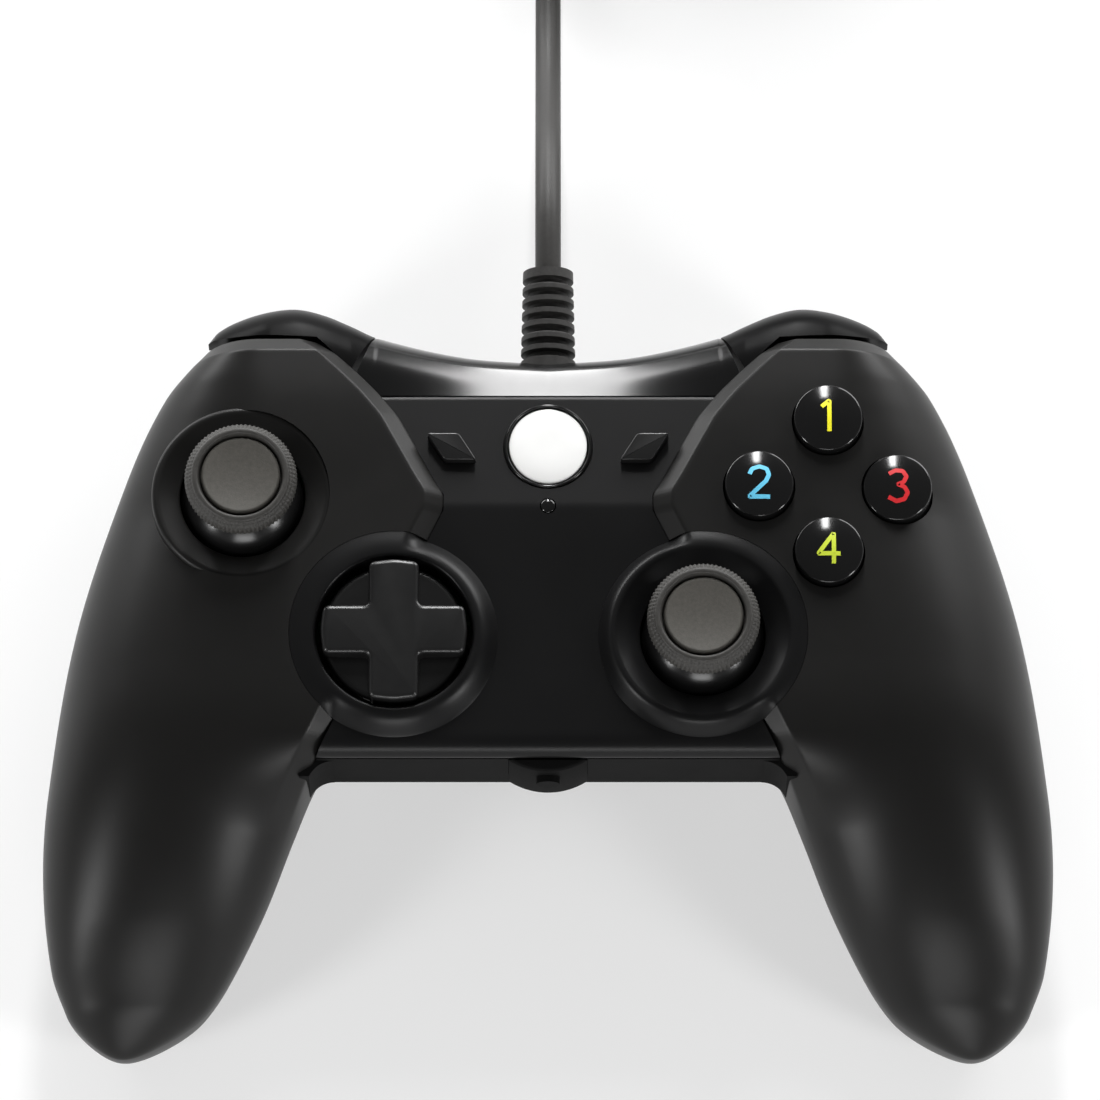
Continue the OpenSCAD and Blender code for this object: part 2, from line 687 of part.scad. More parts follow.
module dpad_pad() {
    color("#77736c") translate([dpad[0], dpad[1], board_top]) {
        difference() {
            cylinder(r = 12, h = 0.8);
            translate([-6.9, -2.1, -1]) cube([13.8, 4.2, 3]);
        }
        for (a = [0:90:270]) rotate(a) translate([9.4, 0, 0]) cylinder(r1 = 2.2, r2 = 1.4, h = 9);
    }
}

module dpad_hub() {
    color("#8d8d90") translate([dpad[0], dpad[1], dpad_pivot_z]) {
        across_x(gimbal_r, -6.7, 6.7);
        along_y(gimbal_r, -5, 5);
        sphere(r = 1.5);
    }
}

module dpad_cross() {
    low = face_z + 0.2;
    top = face_z + 4.4;
    color("#1b1b1c") translate([dpad[0], dpad[1], 0]) difference() {
        union() {
            translate([0, 0, low]) cylinder(r = cross_r - 0.4, h = 1.2);
            intersection() {
                translate([0, 0, low]) cylinder(r = cross_r, h = top - low);
                for (a = [0, 90]) rotate(a)
                    box([-cross_span / 2, cross_span / 2], [-arm_w / 2, arm_w / 2], [low, top]);
            }
            for (s = [-1, 1])
                box([-1.8, 1.8], [s * 4.1 - 0.7, s * 4.1 + 0.7], [dpad_pivot_z - 1.8, low + 0.5]);
        }
        translate([0, 0, dpad_pivot_z]) along_y(gimbal_r + pin_fit, -9, 9);
    }
}

// Face buttons with domed tops
stem_r = 2.5;
face_guide_r = face_button_pitch + 4.9;
face_pad_half = 10;
face_buttons = [for (a = [90, 180, 0, 270]) face_mid + face_button_pitch * [cos(a), sin(a)]];
module face_button(i) {
    b = face_buttons[i];
    z = cover_height(b[0], b[1]) + face_button_rise;
    round_r = 14;
    color("#101011") translate([b[0], b[1], 0]) {
        intersection() {
            translate([0, 0, z - 8]) cylinder(r = face_button_d / 2, h = 12);
            translate([0, 0, z - round_r]) sphere(r = round_r);
        }
        translate([0, 0, board_top + 3]) cylinder(r = stem_r, h = z - 7 - board_top - 3);
    }
}

module face_button_top() { face_button(0); }
module face_button_left() { face_button(1); }
module face_button_right() { face_button(2); }
module face_button_bottom() { face_button(3); }

module face_guide() {
    color("#3a3a3c") translate([0, 0, board_top]) difference() {
        translate([face_mid[0], face_mid[1], 0]) {
            translate([0, 0, 3.2]) cylinder(r = face_guide_r, h = 1.8);
            for (a = [45:90:315]) rotate(a) translate([face_guide_r - 2, 0, 0]) cylinder(r = 1.5, h = 4);
        }
        for (b = face_buttons) translate([b[0], b[1], 2]) cylinder(r = stem_r + pin_fit, h = 6);
    }
}

module face_pad() {
    color("#77736c") translate([0, 0, board_top]) {
        translate([face_mid[0], face_mid[1], 0]) rotate(45)
            box([-face_pad_half, face_pad_half], [-face_pad_half, face_pad_half], [0, 0.8]);
        for (b = face_buttons) translate([b[0], b[1], 0]) cylinder(r1 = 4, r2 = 2.4, h = 1.4);
    }
}

module menu_button(s) {
    color("#161617") translate([s * menu_x, menu_y, 0]) flip(s > 0) {
        translate([0, 0, face_z - 6]) linear_extrude(7.2) menu_outline(0);
        translate([0, 0, board_top + 2.2]) cylinder(r = 1.5, h = 4);
    }
}

module left_menu_button() { menu_button(-1); }
module right_menu_button() { menu_button(1); }

module menu_pads() {
    color("#77736c") for (s = [-1, 1]) translate([s * menu_x, menu_y, board_top])
        cylinder(r1 = 3, r2 = 2, h = 1.3);
}

// Shoulder brackets with bumpers, triggers and pins
module shoulder_bracket() {
    color("#3a3a3c") difference() {
        union() {
            box(bracket[0], bracket[1], bracket[2]);
            box(bracket[0], [back_end, back_end + 1.6], [14, 27]);
            for (x = [bracket[0][0], bracket[0][1] - cheek_t])
                box([x, x + cheek_t], [back_end, 50.5], [trigger_pivot[1] - 4, 27]);
        }
        translate([0, trigger_pivot[0], trigger_pivot[1]])
            across_x(trigger_pin_d / 2 + pin_fit, bracket[0][0] - 1, bracket[0][1] + 1);
        translate([bumper_pin[0], bumper_pin[1], 20]) cylinder(r = bumper_pin_d / 2, h = 10);
    }
}

module left_bracket() { flip(true) shoulder_bracket(); }
module right_bracket() { shoulder_bracket(); }

module shoulder_switches() {
    color("#55534f") for (s = [-1, 1]) flip(s < 0)
        box([bracket[0][1] - 7, bracket[0][1] - 2], [44.5, 51], [bracket[2][1], 32]);
}

module bumper_pins() {
    color("silver") for (s = [-1, 1])
        translate([s * bumper_pin[0], bumper_pin[1], bracket[2][0]]) cylinder(r = bumper_pin_d / 2, h = 9);
}

module bumper() {
    color("#141415") difference() {
        loft([for (x = bumper_stations) shoulder_ring(x, straight(bumper_near, x), along(shoulder_line, x),
            bumper_bottom, band_end_z - 2.5 * ease((x - shoulder_end + 10) / 10))]);
        translate([bumper_pin[0], bumper_pin[1], 20])
            cylinder(r = bumper_pin_d / 2 + pin_fit, h = bracket[2][0] + 9.3 - 20);
    }
}

module left_bumper() { flip(true) bumper(); }
module right_bumper() { bumper(); }

module trigger_pins() {
    color("silver") for (s = [-1, 1]) flip(s < 0) translate([0, trigger_pivot[0], trigger_pivot[1]])
        across_x(trigger_pin_d / 2, bracket[0][0], bracket[0][1]);
}

module trigger() {
    color("#19191a") translate([0, trigger_pivot[0], trigger_pivot[1]]) difference() {
        union() {
            across_x(3.2, trigger_x[0], trigger_x[1]);
            along_x(trigger_x[0], trigger_x[1]) polygon([[0, 3.1], [4.4, 3.2], [8.5, 2.2], [10.2, -1],
                [10.9, -5], [10.8, -9], [9.9, -13], [8.2, -16.5], [6.6, -16], [7.5, -12], [8, -8],
                [7.6, -4.4], [6, -2.6], [0, -2.9]]);
        }
        across_x(trigger_pin_d / 2 + pin_fit, trigger_x[0] - 1, trigger_x[1] + 1);
    }
}

module left_trigger() { flip(true) trigger(); }
module right_trigger() { trigger(); }

// Rumble motors and their off-centre weights
module rumble_motor() {
    color("#a5a5a8") translate([0, motor_at[0], motor_at[1]]) {
        across_x(motor_r, motor_x[0], motor_x[1]);
        across_x(motor_shaft_r, motor_x[1] - 1, weight_x[1] + 1);
    }
}

module left_rumble_motor() { flip(true) rumble_motor(); }
module right_rumble_motor() { rumble_motor(); }

module rumble_weight() {
    color("#7d7b78") translate([0, motor_at[0], motor_at[1]]) difference() {
        union() {
            across_x(2.4, weight_x[0], weight_x[1]);
            intersection() {
                across_x(weight_r, weight_x[0], weight_x[1]);
                box([weight_x[0], weight_x[1]], [-weight_r, weight_r], [-weight_r, 0]);
            }
        }
        across_x(motor_shaft_r + pin_fit, weight_x[0] - 1, weight_x[1] + 1);
    }
}

module left_rumble_weight() { flip(true) rumble_weight(); }
module right_rumble_weight() { rumble_weight(); }

// Ribbed strain relief round the cord
relief_ribs = 7;
rib_pitch = 2;
function relief_r(y) = mix(4.4, 3.9, (y - relief_y[0]) / (relief_y[1] - relief_y[0]));
module strain_relief() {
    rib_start = relief_y[1] - 1.6 - relief_ribs * rib_pitch;
    color("#33322f") translate([0, 0, relief_z]) rotate([-90, 0, 0]) rotate_extrude() polygon(concat(
        [[0, relief_y[0]], [relief_r(relief_y[0]), relief_y[0]]],
        [for (i = [0:relief_ribs - 1], k = [0:3]) let (y = rib_start + i * rib_pitch + [0.9, 1.1, 1.8, 2][k])
            [relief_r(y) - (k == 1 || k == 2 ? 0.9 : 0), y]],
        [[relief_r(relief_y[1]), relief_y[1]], [0, relief_y[1]]]));
}

// Free cord from the relief to the coil
cord_count = ceil((cord_end - relief_y[1] - 2 * cord_d) / cord_step);
cord_points = [for (i = [-1:cord_count + 1])
    let (y = i < 0 ? relief_y[1] : i > cord_count ? cord_end
        : mix(relief_y[1] + cord_d, cord_end - cord_d, i / cord_count))
    [0, y, i < 0 ? relief_z : i > cord_count ? coil_z : along(cord_route, y)]];
module cable() {
    color("#33322f") tube(cord_points, cord_d, cord_sides);
}

// Coil: the turns spiral in and out by layers and climb in the half turn where they reverse
function coil_r(t) = let (u = t / layer_turns, n = floor(u), f = u - n)
    mix(coil_outer, coil_inner, n % 2 == 0 ? f : 1 - f);
function coil_layer(t) = let (n = floor(t / layer_turns + 0.5))
    n < 1 || n > layers - 1 ? (n < 1 ? 0 : layers - 1) : n - 1 + ease((t - n * layer_turns) * 2 + 0.5);
function coil_point(t) = [coil_mid[0] - coil_r(t) * cos(360 * t), coil_mid[1] + coil_r(t) * sin(360 * t),
    coil_z + coil_pitch * coil_layer(t)];
coil_count = round(layers * layer_turns * coil_rings);
coil_turns = [for (i = [0:coil_count]) coil_point(i / coil_rings)];
coil_end = coil_turns[coil_count];
tail_points = [for (x = [cord_d, 7, 10, 13, 16, 19, 22, 25, 28, tail_l - cord_d, tail_l])
    [coil_end[0] + x, coil_end[1], mix(coil_end[2], plug_z, ease((x - cord_d) / (tail_l - 2 * cord_d)))]];
coil_path = concat([[0, coil_mid[1] - cord_d, coil_z]], coil_turns, tail_points);
module cable_coil() {
    color("#33322f") tube(coil_path, cord_d, coil_sides);
}

function path_length(p) = let (legs = [for (i = [1:len(p) - 1]) norm(p[i] - p[i - 1])])
    legs * [for (l = legs) 1];
coil_gap = min([for (i = [0:coil_count], j = [i + coil_rings / 2:1:coil_count])
    norm(coil_turns[i] - coil_turns[j])]) - cord_d;
echo(cord_length = path_length(cord_points) + path_length(coil_path), coil_gap = coil_gap);

module cable_tie() {
    band = 0.6;
    low = coil_inner - cord_d / 2 - 0.6;
    high = coil_outer + cord_d / 2 + 0.3;
    top = coil_z + (layers - 1) * coil_pitch + cord_d / 2;
    color("#1b1b1c") translate([coil_mid[0], coil_mid[1], 0]) difference() {
        box([low - band, high + band], [-2.5, 2.5], [coil_lift - band, top + band]);
        box([low, high], [-3, 3], [coil_lift, top]);
    }
}

// Plug at the end of the cord
plug_x = coil_end[0] + tail_l;
module plug_body() {
    color("#33322f") translate([plug_x, coil_end[1], plug_z]) {
        translate([plug_body[0] / 2, 0, -plug_body[2] / 2]) linear_extrude(plug_body[2]) offset(r = 2)
            square([plug_body[0] - 4, plug_body[1] - 4], center = true);
    }
}

module plug_shell() {
    color("silver") translate([plug_x + plug_body[0], coil_end[1], plug_z]) difference() {
        translate([0, -6, -2.25]) cube([plug_shell_l, 12, 4.5]);
        translate([4, -5.7, -1.95]) cube([plug_shell_l, 11.4, 3.9]);
    }
}

left_grip_cover();
right_grip_cover();
left_grip_back();
right_grip_back();
rear_shell();
front_wall();
rating_label();
centre_panel();
shoulder_bridge();
shell_screws();
main_board();
guide_ring();
guide_button();
status_led();
headset_jack();
left_stick_base();
left_stick_yoke();
left_stick_pivot();
left_stick_cap();
right_stick_base();
right_stick_yoke();
right_stick_pivot();
right_stick_cap();
dpad_post();
dpad_pad();
dpad_hub();
dpad_cross();
face_button_top();
face_button_left();
face_button_right();
face_button_bottom();
face_guide();
face_pad();
left_menu_button();
right_menu_button();
menu_pads();
left_bracket();
right_bracket();
shoulder_switches();
bumper_pins();
left_bumper();
right_bumper();
trigger_pins();
left_trigger();
right_trigger();
left_rumble_motor();
right_rumble_motor();
left_rumble_weight();
right_rumble_weight();
strain_relief();
cable();
cable_coil();
cable_tie();
plug_body();
plug_shell();
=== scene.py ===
import json
import math

import bmesh
import bpy
import numpy as np
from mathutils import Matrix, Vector


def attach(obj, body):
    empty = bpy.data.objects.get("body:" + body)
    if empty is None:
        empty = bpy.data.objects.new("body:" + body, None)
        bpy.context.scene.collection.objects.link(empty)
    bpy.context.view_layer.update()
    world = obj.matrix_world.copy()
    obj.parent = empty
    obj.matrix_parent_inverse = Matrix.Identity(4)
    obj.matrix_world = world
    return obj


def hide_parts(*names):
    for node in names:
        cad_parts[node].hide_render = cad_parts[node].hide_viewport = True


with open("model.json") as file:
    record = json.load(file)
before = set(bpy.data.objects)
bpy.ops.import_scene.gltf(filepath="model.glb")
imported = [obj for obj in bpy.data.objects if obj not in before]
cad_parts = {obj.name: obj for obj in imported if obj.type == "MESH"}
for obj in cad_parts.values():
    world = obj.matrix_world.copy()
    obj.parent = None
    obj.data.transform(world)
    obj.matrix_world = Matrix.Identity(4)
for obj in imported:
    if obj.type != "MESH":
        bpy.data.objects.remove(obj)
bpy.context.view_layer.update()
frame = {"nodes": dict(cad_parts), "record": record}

nodes = frame["nodes"]
mm = 0.001
crispAngle = 38
print("frame loaded with", len(nodes), "nodes")


# Curves

def hermite(points, v):
    # cubic through (place, value) points, the slope at each taken from its two neighbours
    p = np.array(sorted(points), float)
    x, y = p[:, 0], p[:, 1]
    slope = np.gradient(y, x)
    slope[1:-1] = (y[2:] - y[:-2]) / (x[2:] - x[:-2])
    i = np.clip(np.searchsorted(x, v, side="right") - 1, 0, len(x) - 2)
    h = x[i + 1] - x[i]
    t = (v - x[i]) / h
    return (y[i] * (2 * t**3 - 3 * t**2 + 1) + slope[i] * h * (t**3 - 2 * t**2 + t)
            + y[i + 1] * (3 * t**2 - 2 * t**3) + slope[i + 1] * h * (t**3 - t**2))


def straight(points, v):
    # straight legs through (place, value) points
    p = np.array(sorted(points), float)
    return np.interp(v, p[:, 0], p[:, 1])


def ease(t):
    # smooth step from 0 to 1
    u = np.clip(t, 0, 1)
    return u * u * (3 - 2 * u)


def mix(a, b, t):
    return a + (b - a) * t


def resample(points, step, extra, endpoint):
    # the same line at even steps of its length, with some points extra
    p = np.array(points, float)
    run = np.concatenate([[0], np.cumsum(np.linalg.norm(np.diff(p, axis=0), axis=1))])
    t = np.linspace(0, run[-1], int(run[-1] / step) + extra, endpoint=endpoint)
    return np.stack([np.interp(t, run, column) for column in p.T], -1)


def average(line, w):
    # each point's mean with w neighbours on both sides
    kernel = np.ones(2 * w + 1) / (2 * w + 1)
    return np.stack([np.convolve(column, kernel, "valid") for column in line.T], -1)


def softLoop(points, step, blur):
    # closed outline sampled every step, then averaged over blur on both sides, which turns its corners round
    loop = resample(np.vstack([points, points[:1]]), step, 0, False)
    w = max(1, round(blur / step))
    return average(np.concatenate([loop[-w:], loop, loop[:w]]), w)


def softLine(points, step, blur):
    # open line treated the same way, mirrored through its ends so that they stay put
    line = resample(points, step, 2, True)
    w = max(1, round(blur / step))
    before = 2 * line[0] - line[w:0:-1]
    after = 2 * line[-1] - line[-2:-w - 2:-1]
    return average(np.concatenate([before, line, after]), w)


# Surfaces: each returns points in millimetres and faces

def ringQuads(rows, cols):
    # faces between closed rings that follow one another
    i = np.arange(rows - 1)[:, None] * cols
    j = np.arange(cols)[None, :]
    k = (j + 1) % cols
    return np.stack([i + j, i + k, i + cols + k, i + cols + j], -1).reshape(-1, 4).tolist()


def loopLoft(rings):
    # closed rings, one after the other, joined by quads and shut by a flat face at both ends
    rings = np.asarray(rings, float)
    rows, cols = rings.shape[:2]
    ends = [list(range(cols))[::-1], list(range((rows - 1) * cols, rows * cols))]
    return rings.reshape(-1, 3), ringQuads(rows, cols) + ends


def hollow(lines):
    # an outer and an inner line of points, joined into one ring at each station
    return loopLoft(np.concatenate([lines[0], lines[1][:, ::-1]], 1))


def stationLine(x, y, z):
    # points across x at each station y
    return np.stack([x, np.repeat(y, x.shape[1], 1), z], -1)


def turned(profile, centre, steps=96, ripple=None, shut=False):
    # a profile of (radius, height) points turned round an upright axis; ripple(angle, row) adds to the radius
    profile = np.asarray(profile, float)
    if shut:
        profile = np.vstack([profile, profile[:1]])
    a = np.linspace(0, 2 * np.pi, steps, endpoint=False)[None, :]
    r = profile[:, :1] + (0 if ripple is None else ripple(a, np.arange(len(profile))[:, None]))
    grid = np.stack([centre[0] + r * np.cos(a), centre[1] + r * np.sin(a),
                     np.repeat(profile[:, 1:2], steps, 1)], -1)
    return grid.reshape(-1, 3), ringQuads(len(profile), steps)


def rod(radius, at, low, high, steps=72):
    # a plain upright cylinder, as a cutter or a stem
    return turned([(0, low), (radius, low), (radius, high), (0, high)], at, steps)


def pillow(outline, levels):
    # a flat outline stacked by (inset, height) levels, each moved in along the outline's normals
    outline = np.asarray(outline, float)
    way = np.roll(outline, -1, 0) - np.roll(outline, 1, 0)
    way /= np.linalg.norm(way, axis=1)[:, None]
    x, y = outline[:, 0], outline[:, 1]
    sign = np.sign(np.sum(x * np.roll(y, -1) - y * np.roll(x, -1)))
    inward = sign * np.stack([-way[:, 1], way[:, 0]], -1)
    rings = [np.column_stack([outline + inward * inset, np.full(len(outline), z)]) for inset, z in levels]
    return loopLoft(rings)


def rolledEnds(low, high, edge, inset):
    # levels for a pillow whose lower and upper edge are rolled in
    a = np.linspace(0, np.pi / 2, 6)
    move = inset * (1 - np.sin(a))
    lift = edge * (1 - np.cos(a))
    return list(zip(move, low + lift)) + list(zip(move[::-1], high - lift[::-1]))


def rolledTop(top, edge, count):
    # levels for the rolled upper edge of a pillow
    a = np.linspace(0, np.pi / 2, count)
    return list(zip(edge * (1 - np.cos(a)), top - edge * (1 - np.sin(a))))


def tube(path, radius, sides):
    # a round section carried along a path, its frame taken from the upright direction
    path = np.asarray(path, float)
    way = np.gradient(path, axis=0)
    way[0] = path[1] - path[0]
    way[-1] = path[-1] - path[-2]
    way /= np.linalg.norm(way, axis=1)[:, None]
    side = np.cross(way, [0, 0, 1])
    side /= np.linalg.norm(side, axis=1)[:, None]
    up = np.cross(side, way)
    a = np.linspace(0, 2 * np.pi, sides, endpoint=False)[None, :, None]
    return loopLoft(path[:, None] + radius * (side[:, None] * np.sin(a) + up[:, None] * np.cos(a)))


def block(x, y, z):
    # a plain box between two places on each axis
    return pillow([(x[0], y[0]), (x[1], y[0]), (x[1], y[1]), (x[0], y[1])], [(0, z[0]), (0, z[1])])


def swapAxes(surface, order):
    # the same surface with its x, y and z taken in another order
    points, faces = surface
    return points[:, order], faces


def joined(*surfaces):
    # several surfaces as one
    points, faces, start = [], [], 0
    for p, f in surfaces:
        points.append(p)
        faces += [[start + v for v in face] for face in f]
        start += len(p)
    return np.vstack(points), faces


def mirrored(surface):
    # the same surface on the left side
    points, faces = surface
    return points * [-1, 1, 1], [face[::-1] for face in faces]


# Objects

def shadeSmooth(mesh, sharp):
    # smooth faces, with edges sharper than an angle left crisp
    mesh.polygons.foreach_set("use_smooth", np.ones(len(mesh.polygons), bool))
    mesh.set_sharp_from_angle(angle=math.radians(sharp))


def makeMesh(name, surface, sharp=crispAngle):
    # the surface as a mesh object at the origin, in metres, with doubles merged and faces turned outward
    points, faces = surface
    mesh = bpy.data.meshes.new(name)
    mesh.from_pydata((np.asarray(points) * mm).tolist(), [], faces)
    work = bmesh.new()
    work.from_mesh(mesh)
    bmesh.ops.remove_doubles(work, verts=work.verts, dist=3e-7)
    bmesh.ops.recalc_face_normals(work, faces=work.faces)
    work.to_mesh(mesh)
    work.free()
    shadeSmooth(mesh, sharp)
    piece = bpy.data.objects.new(name, mesh)
    bpy.context.scene.collection.objects.link(piece)
    return piece


def cutAway(piece, *cuts):
    # takes the cuts' space out of the piece
    cutter = makeMesh("cutter", joined(*cuts))
    step = piece.modifiers.new("holes", "BOOLEAN")
    step.operation = "DIFFERENCE"
    step.solver = "EXACT"
    step.object = cutter
    graph = bpy.context.evaluated_depsgraph_get()
    mesh = bpy.data.meshes.new_from_object(piece.evaluated_get(graph))
    piece.modifiers.clear()
    piece.data = mesh
    shadeSmooth(mesh, crispAngle)
    bpy.data.objects.remove(cutter)


def place(piece, body, slot, *stands, look=None):
    # the piece rides on a body, takes its slot's finish or another one, and stands for CAD nodes
    piece.data.materials.clear()
    piece.data.materials.append(finishes[look or slot])
    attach(piece, body)
    if stands:
        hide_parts(*stands)
    return piece


def add(name, surface, *where, look=None, sharp=crispAngle):
    return place(makeMesh(name, surface, sharp), *where, look=look)


# Camera: the photograph is 0.155 mm a pixel and looks down at the face from the player's side

view = {"pixel": 0.155, "width": 1100, "elevation": 73.0, "distance": 1600.0, "target": (0.3, 22.8, 20.0)}
lens = bpy.data.cameras.new("camera")
lens.sensor_width = 36.0
lens.lens = 36.0 * view["distance"] / (view["pixel"] * view["width"])
lens.clip_start = 0.05
lens.clip_end = 20.0
camera = bpy.data.objects.new("camera", lens)
bpy.context.scene.collection.objects.link(camera)
tilt = math.radians(view["elevation"])
target = Vector(view["target"]) * mm
camera.location = target + Vector((0, -math.cos(tilt), math.sin(tilt))) * view["distance"] * mm
camera.rotation_euler = (math.pi / 2 - tilt, 0, 0)
bpy.context.scene.camera = camera
bpy.context.scene.view_settings.view_transform = "Standard"
print("camera set")


# Shader maths

class Wire:
    # one socket's output, so that maths on values reads as plain expressions
    def __init__(self, tree, socket=None):
        self.tree = tree
        self.socket = socket

    def node(self, kind, settings, sockets, out=0):
        # any node: its settings first, with a ramp's stops among them, then its sockets' values or links
        made = self.tree.nodes.new("ShaderNode" + kind)
        for key, value in settings.items():
            if key == "stops":
                ramp = made.color_ramp.elements
                while len(ramp) < len(value):
                    ramp.new(0.5)
                for stop, (at, shade) in zip(ramp, value):
                    stop.position = at
                    stop.color = (shade, shade, shade, 1)
            else:
                setattr(made, key, value)
        for key, value in sockets.items():
            if isinstance(value, Wire):
                self.tree.links.new(value.socket, made.inputs[key])
            else:
                made.inputs[key].default_value = value
        return Wire(self.tree, made.outputs[out])

    def maths(self, operation, a, b):
        return self.node("Math", {"operation": operation}, {0: a, 1: b})

    def __add__(self, other):
        return self.maths("ADD", self, other)

    def __sub__(self, other):
        return self.maths("SUBTRACT", self, other)

    def __mul__(self, other):
        return self.maths("MULTIPLY", self, other)

    def __radd__(self, other):
        return self.maths("ADD", other, self)

    def noise(self, coords, scale, detail=2.0, rough=0.5):
        sockets = {"Vector": coords, "Scale": scale, "Detail": detail, "Roughness": rough}
        return self.node("TexNoise", {}, sockets)

    def blend(self, factor, a, b):
        return self.node("Mix", {"data_type": "RGBA"}, {0: factor, 6: (*a, 1), 7: (*b, 1)}, 2)


def startMaterial(name, **constants):
    # a principled material with its constant sockets set, and a wire that holds Object coordinates
    material = bpy.data.materials.new(name)
    material.use_nodes = True
    shader = material.node_tree.nodes["Principled BSDF"]
    for key, value in constants.items():
        shader.inputs[key.replace("_", " ")].default_value = value
    coords = Wire(material.node_tree).node("TexCoord", {}, {}, "Object")
    return material, shader, coords


def feed(shader, socket, wire):
    wire.tree.links.new(wire.socket, shader.inputs[socket])


def bump(shader, height, strength, distance):
    # raises the surface's shading by a height in parts of the distance, in millimetres
    normal = height.node("Bump", {}, {"Strength": strength, "Distance": distance * mm, "Height": height})
    feed(shader, "Normal", normal)


usual = {"roughDrift": 0.05, "grainDeep": 0.02, "specular": 0.5, "coat": 0.0}


def mouldedPlastic(name, own):
    # two shades in broad clouds, roughness that drifts a little and a fine spark-eroded grain
    look = {**usual, **own}
    material, shader, coords = startMaterial(name, Specular_IOR_Level=look["specular"],
                                             Coat_Weight=look["coat"], Coat_Roughness=0.08)
    cloud = coords.noise(coords, look["cloud"])
    feed(shader, "Base Color", coords.blend(cloud, look["dark"], look["light"]))
    drift = coords.noise(coords, 3 * look["cloud"], 4.0)
    feed(shader, "Roughness", look["rough"] + (drift - 0.5) * look["roughDrift"])
    grain = coords.noise(coords, look["grain"], 3.0, 0.6)
    bump(shader, grain, look["grainStrength"], look["grainDeep"])
    return material


def softRubber(name, look):
    # matte rubber: dusty lighter specks over the base, and a fine pitted skin
    material, shader, coords = startMaterial(name, Specular_IOR_Level=0.3)
    speck = coords.noise(coords, look["speck"], 5.0, 0.7)
    mask = speck.node("ValToRGB", {"stops": [(0.35, 0.0), (0.75, 1.0)]}, {0: speck})
    feed(shader, "Base Color", coords.blend(mask, look["dark"], look["light"]))
    feed(shader, "Roughness", look["rough"] + (speck - 0.5) * 0.15)
    bump(shader, coords.noise(coords, look["grain"], 2.0), 0.35, 0.05)
    return material


def satinMetal(name, look):
    # machined metal: brushed streaks along x in the roughness and a trace of tarnish in the colour
    material, shader, coords = startMaterial(name, Metallic=1.0)
    streaks = coords.node("Mapping", {}, {"Vector": coords, "Scale": (200, 4000, 4000)})
    brushed = coords.noise(streaks, 1.0, 3.0)
    tarnish = coords.noise(coords, 120.0)
    feed(shader, "Base Color", coords.blend(tarnish, look["dark"], look["light"]))
    feed(shader, "Roughness", look["rough"] + (brushed - 0.5) * 0.2)
    bump(shader, brushed, 0.1, 0.02)
    return material


def circuitBoard(name):
    # green lacquer over a darker weave, with paler copper traces on a square grid
    material, shader, coords = startMaterial(name, Specular_IOR_Level=0.5, Coat_Weight=0.3)
    brick = coords.node("TexBrick", {}, {"Vector": coords, "Scale": 90.0, "Mortar Size": 0.03}, "Fac")
    cloud = coords.noise(coords, 400.0)
    traces = brick * 0.6 + cloud * 0.2
    feed(shader, "Base Color", coords.blend(traces, (0.01, 0.09, 0.035), (0.08, 0.2, 0.08)))
    feed(shader, "Roughness", 0.35 + cloud * 0.15)
    bump(shader, brick, 0.2, 0.03)
    return material


def numeralPaint(name, colour):
    # a solid printed ink with a little unevenness
    material, shader, coords = startMaterial(name, Specular_IOR_Level=0.4)
    patch = coords.noise(coords, 2500.0, 3.0)
    pale = tuple(min(1.0, c * 1.12) for c in colour)
    feed(shader, "Base Color", coords.blend(patch, colour, pale))
    feed(shader, "Roughness", 0.35 + patch * 0.1)
    return material


jet = {"dark": (0.004, 0.004, 0.0042), "light": (0.006, 0.006, 0.006)}
plastics = {
    "grip": {"dark": (0.0062, 0.006, 0.0058), "light": (0.008, 0.0078, 0.0074), "cloud": 60.0, "rough": 0.38,
             "roughDrift": 0.06, "grain": 5200.0, "grainStrength": 0.22, "grainDeep": 0.03, "specular": 0.21},
    "panel": {"dark": (0.004, 0.004, 0.0042), "light": (0.0056, 0.0056, 0.0058), "cloud": 45.0, "rough": 0.34,
              "grain": 3000.0, "grainStrength": 0.06, "specular": 0.16},
    "gloss": {**jet, "cloud": 80.0, "rough": 0.17, "roughDrift": 0.04, "grain": 900.0, "grainStrength": 0.03,
              "specular": 0.3},
    "bumper": {**jet, "cloud": 80.0, "rough": 0.3, "roughDrift": 0.04, "grain": 900.0, "grainStrength": 0.03,
               "specular": 0.03},
    "button": {**jet, "cloud": 200.0, "rough": 0.14, "roughDrift": 0.03, "grain": 900.0,
               "grainStrength": 0.02, "specular": 0.4},
    "cross": {"dark": (0.006, 0.006, 0.0062), "light": (0.009, 0.009, 0.009), "cloud": 200.0, "rough": 0.3,
              "grain": 3000.0, "grainStrength": 0.08, "specular": 0.4},
    # painted shade: the wall look is a darker, duller copy of the black plastic for the upright front wall,
    # its corners and the jack
    "wall": {"dark": (0.003, 0.003, 0.003), "light": (0.004, 0.004, 0.004), "cloud": 60.0, "rough": 0.7,
             "roughDrift": 0.06, "grain": 4000.0, "grainStrength": 0.2, "grainDeep": 0.03, "specular": 0.06},
    "dome": {"dark": (0.005, 0.005, 0.0052), "light": (0.0075, 0.0075, 0.0075), "cloud": 200.0, "rough": 0.24,
             "grain": 2000.0, "grainStrength": 0.04, "specular": 0.4},
    "inner": {"dark": (0.035, 0.035, 0.037), "light": (0.05, 0.05, 0.052), "cloud": 200.0, "rough": 0.5,
              "roughDrift": 0.1, "grain": 3000.0, "grainStrength": 0.2, "grainDeep": 0.03},
    "white": {"dark": (0.78, 0.78, 0.77), "light": (0.86, 0.86, 0.85), "cloud": 150.0, "rough": 0.25,
              "grain": 1500.0, "grainStrength": 0.03, "coat": 0.3},
    "label": {"dark": (0.2, 0.2, 0.195), "light": (0.27, 0.27, 0.26), "cloud": 300.0, "rough": 0.45,
              "roughDrift": 0.1, "grain": 4000.0, "grainStrength": 0.1},
}
